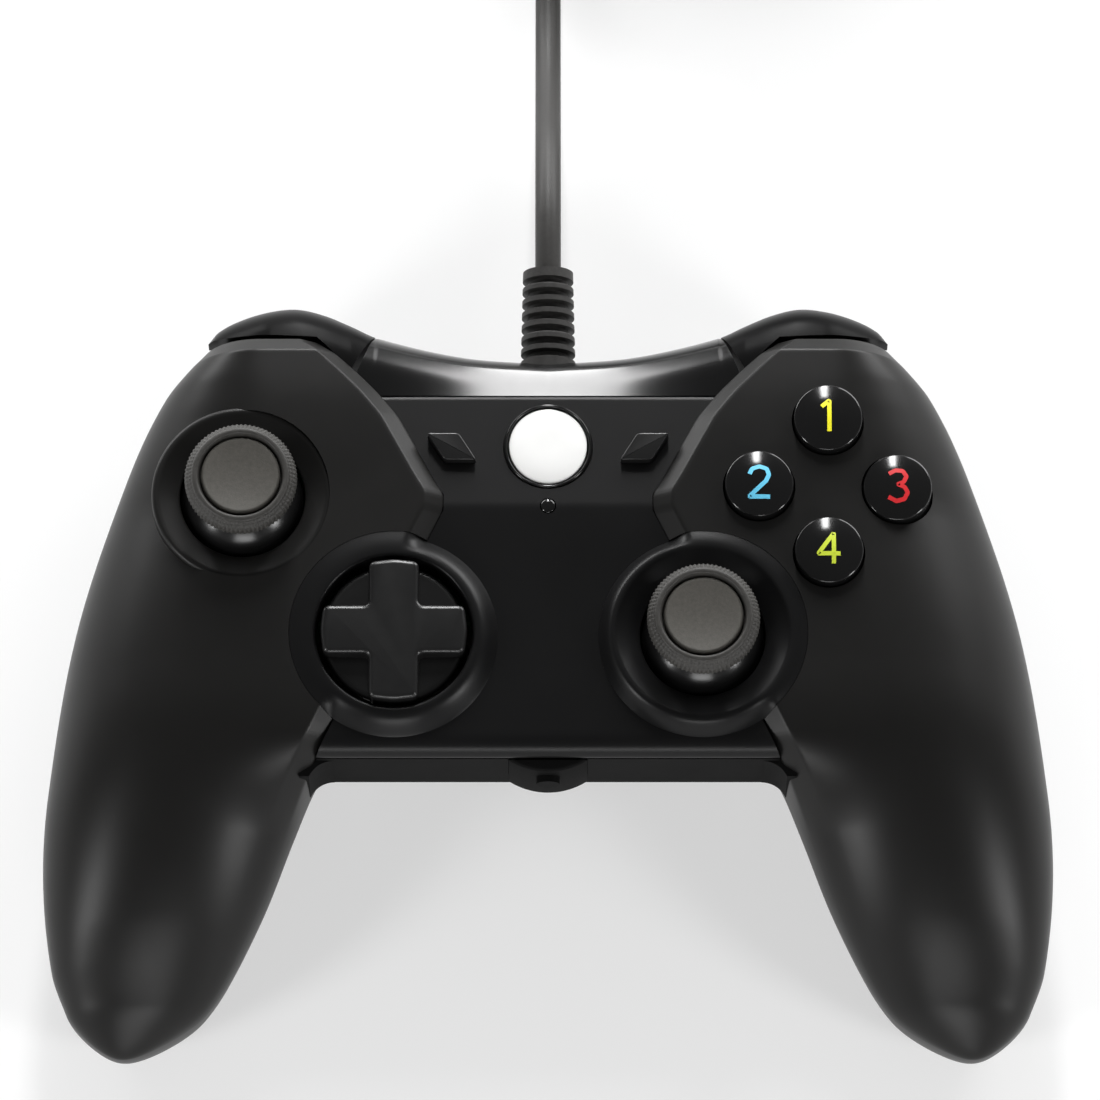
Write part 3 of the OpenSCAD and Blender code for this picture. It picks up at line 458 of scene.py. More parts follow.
rubbers = {
    "soft": {"dark": (0.13, 0.125, 0.11), "light": (0.2, 0.19, 0.17), "speck": 900.0, "rough": 0.7,
             "grain": 3000.0},
    "stick": {"dark": (0.056, 0.053, 0.047), "light": (0.078, 0.074, 0.065), "speck": 1800.0, "rough": 0.58,
              "grain": 6000.0},
    # painted shade: the rim is a darker copy of the stick's rubber, for the cap's knurled rim around the
    # lighter disc
    "rim": {"dark": (0.027, 0.026, 0.024), "light": (0.042, 0.04, 0.037), "speck": 1800.0, "rough": 0.5,
            "grain": 6000.0},
    "cord": {"dark": (0.021, 0.02, 0.019), "light": (0.028, 0.027, 0.025), "speck": 1500.0, "rough": 0.5,
             "grain": 2500.0},
    "relief": {"dark": (0.021, 0.02, 0.0195), "light": (0.034, 0.033, 0.031), "speck": 1500.0, "rough": 0.5,
               "grain": 2500.0},
}
metals = {
    "steel": {"dark": (0.45, 0.45, 0.45), "light": (0.6, 0.6, 0.6), "rough": 0.32},
    "trim": {"dark": (0.3, 0.295, 0.28), "light": (0.42, 0.41, 0.39), "rough": 0.22},
}
finishes = {"board": circuitBoard("boardLacquer")}
for key, look in plastics.items():
    finishes[key] = mouldedPlastic(key + "Plastic", look)
for key, look in rubbers.items():
    finishes[key] = softRubber(key + "Rubber", look)
for key, look in metals.items():
    finishes[key] = satinMetal(key + "Metal", look)
for row in frame["record"]["subparts"]:
    shown = nodes[row["node"]].data
    shown.materials.clear()
    shown.materials.append(finishes[row["material_slot"]])
print("finishes made:", len(finishes))


# Cord: relief, free run, coil, tie and plug

cordSize = {
    "diameter": 4.0,
    "route": [(66, 26), (70, 26), (78, 25), (88, 20.5), (98, 13), (108, 6.5), (118, 3.2), (128, 2.7),
              (150, 2.7), (175, 2.7)], "runEnd": 171.0,
    "pitch": 4.5, "layers": 4, "layerTurns": 4.8125, "inner": 13.0, "lift": 0.7, "midY": 179.0,
    "tail": 34.0, "plugZ": 4.0, "ringsATurn": 48, "sides": 12,
}


def cordPath(c):
    # the run by height over y, the coil's radius swinging between its inner and outer turns, then
    # a short tail
    outer = c["inner"] + c["layerTurns"] * c["pitch"]
    low = c["lift"] + c["diameter"] / 2
    y = np.concatenate([[c["route"][0][0]], np.linspace(c["route"][1][0], c["runEnd"], 43)])
    run = np.stack([np.zeros_like(y), y, hermite(c["route"], y)], -1)
    run[:2, 2] = c["route"][0][1]
    t = np.arange(0, c["layers"] * c["layerTurns"] + 1e-9, 1 / c["ringsATurn"])
    u = t / c["layerTurns"]
    layer = np.floor(u)
    share = u - layer
    radius = mix(outer, c["inner"], np.where(layer % 2 == 0, share, 1 - share))
    near = np.floor(u + 0.5)
    climb = np.clip(near, 0, c["layers"]) - 1 + ease((t - near * c["layerTurns"]) * 2 + 0.5)
    level = np.where(near < 1, 0, np.where(near > c["layers"] - 1, c["layers"] - 1, climb))
    a = 2 * np.pi * t
    coil = np.stack([outer - radius * np.cos(a), c["midY"] + radius * np.sin(a),
                     low + c["pitch"] * level], -1)
    x = np.linspace(c["diameter"], c["tail"] - c["diameter"], 24)
    fall = ease((x - c["diameter"]) / (c["tail"] - 2 * c["diameter"]))
    tail = np.stack([coil[-1, 0] + x, np.full_like(x, coil[-1, 1]), mix(coil[-1, 2], c["plugZ"], fall)], -1)
    end = [[coil[-1, 0] + c["tail"], coil[-1, 1], c["plugZ"]]]
    return np.vstack([run, [[0, c["route"][-1][0], low]], coil, tail, end])


path = cordPath(cordSize)
cord = add("cord", tube(path, cordSize["diameter"] / 2, cordSize["sides"]), "pad", "cord", "cable",
           "cable_coil")

reliefSize = {"from": 45.0, "to": 66.0, "height": 26.0, "thick": 4.4, "thin": 3.9, "ribs": 7, "pitch": 2.0,
              "groove": 0.9, "ribWide": 0.85, "slope": 0.25, "collar": 1.6, "endEdge": 0.3}


def reliefSurface(s):
    # a taper turned round the cord, its radius dropping into a groove between ribs
    y = np.linspace(s["from"], s["to"], 240)
    radius = mix(s["thick"], s["thin"], (y - s["from"]) / (s["to"] - s["from"]))
    start = s["to"] - s["collar"] - s["ribs"] * s["pitch"]
    beat = (y - start) % s["pitch"]
    inside = (y > start) & (y < start + s["ribs"] * s["pitch"])
    cut = ease((beat - s["ribWide"]) / s["slope"]) * ease((s["pitch"] + 0.05 - beat) / s["slope"]) * inside
    profile = np.stack([radius - s["groove"] * cut, y], -1)
    profile[-1, 0] = radius[-1] - s["endEdge"]
    profile = np.vstack([[0, s["from"]], profile, [0, s["to"]]])
    points, faces = turned(profile, (0, 0), 64)
    return np.stack([points[:, 0], points[:, 2], s["height"] + points[:, 1]], -1), faces


add("cordRelief", reliefSurface(reliefSize), "pad", "cord", "strain_relief", look="relief")

tieSize = {"band": 0.6, "width": 5.0, "clear": 0.3}


def tieSurface(s):
    # a thin band round all the turns on one side of the coil, drawn as a rounded loop in x and z
    c = cordSize
    outer = c["inner"] + c["layerTurns"] * c["pitch"]
    x0 = outer + c["inner"] - c["diameter"] / 2 - 0.6
    x1 = 2 * outer + c["diameter"] / 2 + s["clear"]
    z0 = c["lift"]
    z1 = c["lift"] + c["diameter"] + (c["layers"] - 1) * c["pitch"]
    corners = np.array([[x0, z0], [x1, z0], [x1, z1], [x0, z1]])
    inner = softLoop(corners, 0.25, 0.9)
    grown = inner + np.sign(inner - inner.mean(0)) * s["band"] * 0.98
    half = s["width"] / 2
    y = c["midY"]
    ring = [(grown, y - half), (grown, y + half), (inner, y + half), (inner, y - half)]
    rings = [np.stack([loop[:, 0], np.full(len(loop), at), loop[:, 1]], -1) for loop, at in ring]
    grid = np.stack(rings + rings[:1])
    return grid.reshape(-1, 3), ringQuads(*grid.shape[:2])


tie = add("cordTie", tieSurface(tieSize), "pad", "cord", "cable_tie")

plugSize = {"length": 28.0, "width": 15.6, "height": 8.0, "waist": 0.9, "waistLong": 5.0, "edge": 1.2,
            "power": 2 / 5, "sides": 64}


def plugSurface(s):
    # a flat rounded block whose edges roll over, with a waist where fingers hold it
    x0, y0, z0 = path[-1]
    x = np.linspace(0, s["length"], 90)
    waist = s["waist"] * np.exp(-((x - s["length"] / 2) / s["waistLong"]) ** 2)
    end = np.minimum(1, np.minimum(x, s["length"] - x) / s["edge"])
    inset = s["edge"] * (1 - np.sqrt(1 - (1 - end) ** 2))
    a = np.linspace(0, 2 * np.pi, s["sides"], endpoint=False)
    across = np.sign(np.cos(a)) * np.abs(np.cos(a)) ** s["power"]
    up = np.sign(np.sin(a)) * np.abs(np.sin(a)) ** s["power"]
    wide = (s["width"] / 2 - inset - waist)[:, None] * across
    tall = (s["height"] / 2 - inset)[:, None] * up
    return loopLoft(np.stack([x0 + np.repeat(x[:, None], s["sides"], 1), y0 + wide, z0 + tall], -1))


plug = add("plugGrip", plugSurface(plugSize), "pad", "cord", "plug_body")


# Grips: covers above the parting line, backs below it

grip = {
    "half": 77.5, "face": 40.0, "wall": 2.2, "rise": 2.6, "chamferWide": 3.0, "chamferDeep": 2.4,
    "coverLine": [(51, 35.4), (46, 30), (42.1, 26.2), (38, 22.9), (28.6, 17.8), (25.6, 16), (23, 16),
                  (-17, 36)],
    "handleLine": [(-10, 32.5), (-17, 36), (-24, 38.9), (-35, 43.4), (-45, 48.7), (-50, 52.3), (-57, 59.3)],
    "backLine": [(42, 30), (0, 30), (-8, 31.5), (-17, 36)],
    "outerLine": [(51, 0.69), (44, 0.768), (31, 0.845), (8, 0.937), (-18, 0.991), (-31, 1), (-44, 0.983),
                  (-50, 0.955), (-57, 0.916)],
    "crownLine": [(51, -1.2), (40, -0.2), (25, 0), (0, 0), (-12, -0.9), (-25, -5.2), (-38, -12), (-50, -21.3),
                  (-57, -26)],
    "rimLine": [(51, 27), (25, 24.5), (0, 24), (-20, 22.5), (-35, 19), (-50, 14), (-57, 13.4)],
    "floorLine": [(51, 17), (42, 12), (30, 7.5), (10, 5.2), (-10, 4.5), (-25, 3), (-38, 0.6), (-46, -0.7),
                  (-50, -0.3), (-57, 2)],
    "tipStart": -50.0, "tipLength": 7.0,
    "coverEnd": 51.0, "backEnd": 42.0,
}


def gripLines(y):
    # the grip's edges and heights over y; widths and heights close as a quarter circle over the tip's length
    g = grip
    shrink = np.sqrt(1 - np.clip((g["tipStart"] - y) / g["tipLength"], 0, 1) ** 2)
    rim = hermite(g["rimLine"], y)
    endChamfer = g["chamferDeep"] * np.clip((y - g["coverEnd"] + 2.5) / 2.5, 0, 1)
    upper = np.mean([straight(g["coverLine"], y + d) for d in np.linspace(-0.7, 0.7, 5)], 0)
    handle = hermite(g["handleLine"], y)
    outer = g["half"] * hermite(g["outerLine"], y)
    onPad = y > g["coverLine"][-1][0]
    cover = np.where(onPad, upper, handle)
    back = np.where(onPad, straight(g["backLine"], y), handle)
    return {
        "rim": rim,
        "coverMiddle": (cover + outer) / 2, "coverHalf": (outer - cover) / 2 * shrink,
        "backMiddle": (back + outer) / 2, "backHalf": (outer - back) / 2 * shrink,
        "rise": (g["face"] + g["rise"] + hermite(g["crownLine"], y) - endChamfer - rim) * shrink,
        "sink": (rim - hermite(g["floorLine"], y)) * shrink,
    }


def halfSection(a, m, low, top, edge, step, roll, q):
    # inner half: a wall up to a chamfer and a flat, which turns into a quarter ellipse by the roll
    x = np.where(q <= 1, a, np.where(q <= 2, a + edge * (q - 1), a + edge + (m - a - edge) * (q - 2) / 3))
    z = np.where(q <= 1, low + (top - step - low) * q, np.where(q <= 2, top - step + step * (q - 1), top))
    t = np.radians(90 - 18 * q)
    return mix(x, m - (m - a) * np.sin(t), roll), mix(z, low + (top - low) * np.cos(t), roll)


def soften(line, times):
    # averages each point with its neighbours across a section, ends kept
    for _ in range(times):
        line[:, 1:-1] = 0.25 * line[:, :-2] + 0.5 * line[:, 1:-1] + 0.25 * line[:, 2:]
    return line


def gripStations(end, extra):
    # stations along y, closer at the far end, at the corners of the cover's line and round the tip
    turn = np.radians(np.linspace(2, 89.4, 30))
    tip = grip["tipStart"] - grip["tipLength"] * np.sin(turn)
    body = np.concatenate([np.linspace(end, grip["tipStart"], 170), np.linspace(end, end - 3, 12), extra])
    return np.concatenate([np.unique(body)[::-1], tip])[:, None]


def thinner(size, inset):
    # a half width or a height less the wall, though a tenth of it at least
    return np.maximum(size - inset, 0.1 * size)


def closeSection(x, z, y, middle, half, rim, rise):
    # the section's inner half, then its outer half as a quarter ellipse down to the parting line
    turn = np.radians(np.linspace(3, 90, 30))[None, :]
    outerX = middle + half * np.sin(turn)
    outerZ = rim + rise * np.cos(turn)
    return stationLine(np.hstack([x, outerX]), y, np.hstack([z, outerZ]))


def coverSurface():
    # the cover's outer section and the same one a wall further in, over all stations
    g = grip
    y = gripStations(g["coverEnd"], np.concatenate([np.linspace(47, 22, 66), np.linspace(-3, -26, 50)]))
    e = gripLines(y)
    q = np.concatenate([np.linspace(0, 0.8, 5), np.linspace(0.86, 2.3, 30), np.linspace(2.4, 5, 14)])[None, :]
    low = mix(g["face"] - 4, e["rim"], ease((-4 - y) / 9))
    roll = ease((-12 - y) / 14)
    middle = e["coverMiddle"]
    lines = []
    for inset in (0.0, g["wall"]):
        half, rise = thinner(e["coverHalf"], inset), thinner(e["rise"], inset)
        top = e["rim"] + rise
        x, z = halfSection(middle - half, middle, np.minimum(low, top - 0.01), top, g["chamferWide"],
                           g["chamferDeep"], roll, q)
        lines.append(soften(closeSection(x, z, y, middle, half, e["rim"], rise), 2))
    return hollow(lines)


def backSurface():
    # the grip's underside: a wall and a flat that turn into an ellipse towards the handle
    g = grip
    y = gripStations(g["backEnd"], np.concatenate([[g["backEnd"] - 2.0, g["backEnd"] - 2.01],
                                                   np.linspace(1, -26, 60)]))
    e = gripLines(y)
    q = np.concatenate([np.linspace(0, 0.8, 6), np.linspace(0.86, 2.2, 24), np.linspace(2.4, 5, 14)])[None, :]
    roll = ease(-y / 16)
    middle = e["backMiddle"]
    lines = []
    for inset in (0.0, g["wall"]):
        half, sink = thinner(e["backHalf"], inset), thinner(e["sink"], inset)
        if inset:
            sink = np.where(y > g["backEnd"] - 2.005, 0.02, sink)
        x, z = halfSection(middle - half, middle, e["rim"], e["rim"] - sink, 4.0, 0.0, roll, q)
        line = closeSection(x, z, y, middle, half, e["rim"], -sink)
        line[..., 2] = np.maximum(line[..., 2], 0.0)
        lines.append(soften(line, 3))
    return hollow(lines)


controls = {
    "leftStick": (-46.8, 25.1), "rightStick": (23.6, 2.9), "dpad": (-23.5, 2.9), "faceMiddle": (42.9, 26.0),
    "facePitch": 10.6, "faceDiameter": 10.5, "faceRise": 2.8, "guide": (0.0, 33.4), "guideRadius": 6.0,
    "guideRing": 6.9, "led": (0.0, 23.7), "menu": (14.8, 33.0), "moundRadius": 16.0, "dishHole": 9.6,
    "ledHole": 1.25,
}
face = grip["face"]
faceSpots = {}
for key, angle in (("top", 90), ("left", 180), ("right", 0), ("bottom", 270)):
    reach = controls["facePitch"]
    faceSpots[key] = (controls["faceMiddle"][0] + reach * math.cos(math.radians(angle)),
                      controls["faceMiddle"][1] + reach * math.sin(math.radians(angle)))

rightCover = makeMesh("rightGripCover", coverSurface())
leftCover = makeMesh("leftGripCover", mirrored(coverSurface()))
holes = [rod(controls["faceDiameter"] / 2 + 0.3, at, face - 12, face + 18) for at in faceSpots.values()]
holes.append(rod(controls["moundRadius"] + 0.05, controls["rightStick"], face - 16, face + 14, 128))
cutAway(rightCover, *holes)
collar = {"radius": 13.9, "under": -5.0, "top": 2.13, "rim": 12.9, "foot": 1.6, "hole": 13.4}
holes = [rod(collar["hole"], controls["leftStick"], face - 12, face + 14, 128),
         rod(controls["moundRadius"] + 0.05, controls["dpad"], face - 16, face + 14, 128)]
cutAway(leftCover, *holes)
place(rightCover, "pad", "grip", "right_grip_cover")
place(leftCover, "pad", "grip", "left_grip_cover")
corner = {"radius": 4.0, "turn": 24.0, "low": 24.0, "top": 36.0, "front": -15.75, "wallFront": -15.7}


def cornerSurface(c):
    # the hollow corner between the front wall and the handle, an arc seen from above
    x0 = straight(grip["coverLine"], c["wallFront"])
    a = np.radians(np.linspace(90, c["turn"], 20))
    inward = c["radius"] * math.tan(math.radians(90 - c["turn"]) / 2)
    middle = np.array([x0 - inward, c["front"] - c["radius"]])
    arc = middle + c["radius"] * np.stack([np.cos(a), np.sin(a)], -1)
    outline = np.vstack([arc, [(x0 + 2.6, arc[-1, 1]), (x0 + 2.6, c["front"])]])
    return pillow(outline, [(0, c["low"]), (0, c["top"])])


handleMiddle = gripLines(np.array([[-38.0]]))["coverMiddle"].item()
well = {"head": 2.55, "shank": 1.25, "column": 3.6,
        "grip": [(62.0, 12.0, 10.8, 14.0, 26.0), (handleMiddle + 0.8, -38.0, 1.2, 7.0, 18.0)],
        "shell": [(9.0, 16.0, 1.5, 16.0, 27.0)]}


def wellTubes(spots):
    # a tube at each screw, wide up to the screw's seat and narrow above it
    w = well
    tubes = []
    for x, y, foot, seat, top in spots:
        profile = [(w["head"] + 0.05, foot), (w["column"], foot), (w["column"], top), (w["shank"], top),
                   (w["shank"], seat), (w["head"] + 0.05, seat)]
        tubes.append(turned(profile, (x, y), 48, shut=True))
    return joined(*tubes)


def wellCuts(spots):
    return joined(*[rod(well["head"], (x, y), -2.0, seat, 48) for x, y, foot, seat, top in spots])


for key, side in (("right", lambda surface: surface), ("left", mirrored)):
    gripBack = makeMesh(key + "GripBack", side(backSurface()))
    cutAway(gripBack, side(wellCuts(well["grip"])))
    place(gripBack, "pad", "grip", key + "_grip_back")
    # the corner takes the wall look, which paints shade into it
    add(key + "FrontCorner", side(cornerSurface(corner)), "pad", "grip", look="wall")
    add(key + "GripColumns", side(wellTubes(well["grip"])), "pad", "grip")
print("grips lofted")


# Dishes: the collar of the left stick and the two mounds, which are as thick below as the panel

panel = {"front": -15.7, "back": 42.1, "fold": 23.7, "foldRise": 0.3, "bandEnd": -2.0, "round": 3.0,
         "thick": 2.4, "foot": 24.0}


def dishSurface(at, hole, c):
    # a ring whose funnel falls from its rim to the hole, and whose outside falls to the foot as a cosine
    rim, outer = c["rim"], c["radius"]
    top, foot, under = face + c["top"], face + c["foot"], face + c["under"]
    t = np.linspace(0, 1, 20)[:, None]
    swell = np.hstack([mix(rim + 0.5, outer, t), mix(foot, top, np.cos(t * np.pi / 2) ** 0.9)])
    profile = np.vstack([[(hole, face - 0.4), (hole, face + 0.4), (rim, top)], swell,
                         [(outer, under), (outer - 1.6, under), (outer - 2.2, face + 0.3),
                          (rim - 0.7, face + 0.6)]])
    return turned(softLoop(profile, 0.12, 0.24), at, 160, shut=True)


def moundSurface(at, lip, inside):
    # round the control: up its inside to the lip, then down as a cosine to the panel, or to the cover
    # beyond its edge
    steps, outer = 240, controls["moundRadius"]
    angle = np.linspace(0, 2 * np.pi, steps, endpoint=False)[:, None]
    t = np.linspace(0, 1, 26)[None, :]
    radius = mix(lip, outer, t)
    x, y = at[0] + radius * np.cos(angle), at[1] + radius * np.sin(angle)
    beyond = (np.abs(x) - straight(grip["coverLine"], y)) * 0.87
    cover = grip["rise"] + hermite(grip["crownLine"], y) - 0.05
    level = face + cover * ease(beyond / grip["chamferWide"])
    swell = np.stack([x, y, mix(level, face + 3.0, np.cos(t * np.pi / 2) ** 1.1)], -1)

    def around(profile):
        r, z = np.array(profile).T
        return np.stack([at[0] + r * np.cos(angle), at[1] + r * np.sin(angle), face + z + 0 * angle], -1)

    below = [(outer, -panel["thick"]), (inside[0][0] + 0.8, -panel["thick"])]
    grid = np.concatenate([around(inside), swell, around(below)], 1)
    count = grid.shape[1]
    i, j = np.meshgrid(np.arange(steps), np.arange(count), indexing="ij")
    k, n = (i + 1) % steps, (j + 1) % count
    quads = np.stack([i * count + j, k * count + j, k * count + n, i * count + n], -1).reshape(-1, 4).tolist()
    return grid.reshape(-1, 3), quads


dish = dishSurface(controls["leftStick"], controls["dishHole"], collar)
add("leftStickCollar", dish, "pad", "grip")
turn = np.radians(np.linspace(0, 90, 7))
roundLip = [(12.5 - 0.5 * math.cos(t), 2.5 + 0.5 * math.sin(t)) for t in turn]
mound = moundSurface(controls["dpad"], 12.7, [(12.0, -panel["thick"])] + roundLip)
add("dpadMound", mound, "pad", "panel")
hole = controls["dishHole"]
funnel = [(hole, -0.4), (hole, 0.4), (9.75, 0.6), (12.9, 2.68), (13.1, 2.83), (13.3, 2.94), (13.5, 3.0)]
mound = moundSurface(controls["rightStick"], 13.7, funnel)
add("rightStickMound", mound, "pad", "panel")


# Panel, front wall and headset jack

jack = {"half": 6.0, "boss": 1.8, "low": 28.6, "bore": 1.8, "height": 32.6, "depth": 14.0, "edge": 0.5}


def panelSurface(p):
    # the side profile of a folded plate with a rounded front edge, carried across x between the covers
    y0 = p["front"] + p["round"]
    z0 = face - p["round"]
    small = p["round"] - p["thick"]
    a = np.radians(np.linspace(0, 90, 13))
    upper = [[p["back"], face + p["bandEnd"]], [p["fold"], face + p["foldRise"]]]
    bend = np.stack([y0 - p["round"] * np.sin(a), z0 + p["round"] * np.cos(a)], -1)
    bendIn = np.stack([y0 - small * np.sin(a), z0 + small * np.cos(a)], -1)[::-1]
    lower = [[p["fold"], face + p["foldRise"] - p["thick"]], [p["back"], face + p["bandEnd"] - p["thick"]]]
    loop = softLoop(np.vstack([upper, bend, bendIn, lower]), 0.4, 0.4)
    edge = straight(grip["coverLine"], loop[:, 0])
    x = np.linspace(-1, 1, 41)[:, None] * edge
    return loopLoft(np.stack([x, loop[:, 0] + 0 * x, loop[:, 1] + 0 * x], -1))


def wallSurface(p):
    # an upright plate between the handles, notched from above for the jack
    x0 = straight(grip["coverLine"], p["front"])
    x1 = straight(grip["coverLine"], p["front"] + p["thick"])
    notch = jack["half"] + 0.05
    y0, y1 = p["front"], p["front"] + p["thick"]
    wing = pillow([(notch, y0), (x0, y0), (x1, y1), (notch, y1)], [(0, p["foot"]), (0, face - p["round"])])
    strip = block((-notch, notch), (y0, y1), (p["foot"], jack["low"]))
    return joined(wing, mirrored(wing), strip)


menu = {"width": 4.9, "height": 4.3, "slant": 2.7, "top": 1.2, "under": -6.0, "fit": 0.1, "edge": 0.22,
        "stem": 1.5, "stemFoot": 30.8, "stemTop": 34.8}


def menuOutline(side, grow):
    # a parallelogram that leans towards the middle of the pad
    a = (menu["width"] - menu["slant"]) / 2 + grow
    b = (menu["width"] + menu["slant"]) / 2 + grow
    h = menu["height"] / 2 + grow
    corners = np.array([[-b, h], [a, h], [b, -h], [-a, -h]]) * [-side, 1]
    return softLoop(corners + [side * controls["menu"][0], controls["menu"][1]], 0.1, 0.5)


plate = makeMesh("centrePanel", panelSurface(panel))
holes = [rod(controls["moundRadius"] - 0.8, controls[key], face - 11, face + 9, 128)
         for key in ("dpad", "rightStick")]
holes.append(rod(controls["guideRing"], controls["guide"], face - 11, face + 9, 96))
holes.append(rod(controls["ledHole"], controls["led"], face - 11, face + 9, 32))
holes += [pillow(menuOutline(side, menu["fit"]), [(0, face - 11), (0, face + 9)]) for side in (-1, 1)]
cutAway(plate, *holes)
place(plate, "pad", "panel", "centre_panel")
# the front wall takes the wall look, which paints shade into it
add("frontWall", wallSurface(panel), "pad", "panel", "front_wall", look="wall")


def jackSurface(j):
    # a boss whose front is an arc seen from above, its upper and lower edge rolled in, and a plain block
    # behind it
    front, top = panel["front"], face - panel["round"] - 0.4
    x = j["half"] * np.cos(np.linspace(0, np.pi, 49))
    radius = (j["half"] ** 2 + j["boss"] ** 2) / (2 * j["boss"])
    arc = np.stack([x, front - j["boss"] + radius - np.sqrt(radius**2 - x**2)], -1)
    outline = np.vstack([arc, [(-j["half"], front + 0.5), (j["half"], front + 0.5)]])
    levels = rolledEnds(panel["foot"], top, j["edge"], j["edge"])
    housing = block((-j["half"], j["half"]), (front + 0.2, front + 17), (j["low"], top - 0.6))
    return joined(pillow(outline, levels), housing)


headsetJack = makeMesh("headsetJack", jackSurface(jack))
points, faces = swapAxes(rod(jack["bore"], (0, 0), 0, jack["depth"] + 1, 48), [0, 2, 1])
cutAway(headsetJack, (points + [0, panel["front"] - jack["boss"] - 1, jack["height"]], faces))
# the jack takes the wall look, which paints shade into it
place(headsetJack, "pad", "panel", "headset_jack", look="wall")
print("panel folded")


# Middle shell below the panel

shell = {"half": 30.0, "rim": 24.0, "front": -14.2, "back": 41.7, "hump": 0.5, "wall": 2.2}


def shellSurface(s):
    # rings along y: down one side, across a hump that is flat in the middle, up the other side and
    # back inside
    y = np.concatenate([s["front"] * np.sin(np.radians(np.linspace(88.5, 0, 40))),
                        np.linspace(0.4, s["back"] - 2.01, 60), [s["back"] - 2.0, s["back"]]])[:, None]
    closed = np.where(y < 0, np.sqrt(np.clip(1 - (y / s["front"]) ** 2, 0, 1)), 1.0)
    flat = hermite(grip["floorLine"], np.maximum(0, y))
    hump = ease((y + 12) / 20) * ease((s["back"] - y) / 7)
    low = mix(flat, s["hump"], hump)
    lines = []
    for inset in (0.0, s["wall"]):
        half = s["half"] - inset
        x = np.concatenate([np.full(8, -half), np.linspace(-half, half, 81), np.full(8, half)])[None, :]
        up = np.concatenate([np.linspace(1, 0.1, 8), np.zeros(81), np.linspace(0.1, 1, 8)])[None, :]
        floor = mix(low, flat, ease((np.abs(x) - 13) / 17))
        depth = np.maximum((s["rim"] - floor - inset) * closed, 0.02)
        if inset:
            depth = np.where(y > s["back"] - 2.005, 0.02, depth)
        line = stationLine(np.repeat(x, len(y), 0), y, s["rim"] - depth * (1 - up))
        lines.append(soften(line, 2))
    return hollow(lines)


rearShell = makeMesh("rearShell", shellSurface(shell))
middleWells = well["shell"] + [(-x, *rest) for x, *rest in well["shell"]]
cutAway(rearShell, wellCuts(middleWells))
place(rearShell, "pad", "grip", "rear_shell")
add("shellColumns", wellTubes(middleWells), "pad", "grip")
print("shell lofted")


# Shoulders: bridge, bumpers and triggers

shoulder = {
    "near": 41.7, "middle": 30.0, "top": 38.0, "bridgeFloor": 20.0, "bumperFloor": 28.4, "endFall": 2.5,
    "lean": 0.28, "leanEnd": 32.0, "turn": 6,
    "farLine": [(0, 49.6), (13, 50.7), (26.2, 53.9), (30.68, 56), (34.64, 57.7), (38.86, 58.7),
                (43.08, 58.3), (47.56, 56.9), (50.99, 55), (52.57, 53.1)],
    "seam": [(26.2, 53.9), (29.4, 46.2)],
    "bumperNear": [(26.8, 52.9), (30.3, 46.6), (35.7, 51.9), (52.57, 52.6)],
}


def shoulderRings(x, near, edge, low, top):
    # at each x: up the near side, along a slope that turns down at the far edge, and back underneath;
    # the slope falls by lean times the way across plus the rest times the way to a high power, and lean
    # fades from the middle
    s = shoulder
    reach = hermite(s["farLine"], np.abs(x)) - s["near"]
    start = np.arcsin((near - s["near"]) / reach)
    stop = np.arcsin(np.minimum(1, (edge - s["near"]) / reach))
    a = mix(start, stop, np.linspace(0, 1, 40)[None, :])
    y = s["near"] + reach * np.sin(a)
    lean = s["lean"] * np.clip(1 - (x / s["leanEnd"]) ** 2, 0.1, 1)
    z = mix(top, s["middle"], lean * np.sin(a) + (1 - lean) * np.sin(a) ** s["turn"])
    flat = low + 0 * x
    y = np.hstack([near, near, y, edge, edge, mix(edge, near, 0.3), mix(edge, near, 0.7)])
    z = np.hstack([flat, mix(flat, z[:, :1], 0.7), z, mix(z[:, -1:], flat, 0.5), flat, flat, flat])
    return np.stack([np.repeat(x, y.shape[1], 1), y, z], -1)


def bridgeSurface():
    # the far edge bows in behind the panel and is cut off slantwise at the bumpers
    s = shoulder
    tip = s["seam"][1][0]
    corners = s["seam"][0][0] + np.array([-0.02, 0, 0.02])
    x = np.unique(np.concatenate([np.linspace(-tip, tip, 151), -corners, corners]))[:, None]
    u = np.abs(x)
    edge = np.where(u <= s["seam"][0][0], hermite(s["farLine"], u), straight(s["seam"], u))
    corner = [(b, a + 0.05) for a, b in grip["coverLine"][2:0:-1]]
    near = np.maximum(s["near"], straight(corner, u))
    return loopLoft(shoulderRings(x, near, edge, s["bridgeFloor"], s["top"]))


def bumperSurface():
    # the near edge runs along the seam and the cover's end, and the top falls off towards the outer end
    s = shoulder
    end = s["farLine"][-1][0]
    corners = [p[0] for p in s["bumperNear"]]
    x = np.concatenate([np.linspace(corners[0], end, 100), corners, np.linspace(end - 0.6, end, 8)])
    x = np.unique(x)[:, None]
    top = s["top"] - s["endFall"] * ease((x - end + 10) / 10)
    near, edge = straight(s["bumperNear"], x), hermite(s["farLine"], x)
    return loopLoft(shoulderRings(x, near, edge, s["bumperFloor"], top))


add("shoulderBridge", bridgeSurface(), "pad", "gloss", "shoulder_bridge")
for key, surface in (("right", bumperSurface()), ("left", mirrored(bumperSurface()))):
    add(key + "Bumper", surface, key + "_bumper", "gloss", key + "_bumper", look="bumper")

trigger = {
    "pivot": (47.0, 22.0), "from": 31.6, "to": 47.8, "edge": 0.9,
    "outline": [(-3.2, 0), (-2.3, 2.3), (0, 3.2), (4.4, 3.2), (8.5, 2.2), (10.2, -1), (10.9, -5), (10.8, -9),
                (9.9, -13), (8.2, -16.5), (6.6, -16), (7.5, -12), (8, -8), (7.6, -4.4), (6, -2.6), (0, -3),
                (-2.3, -2.3)],
}


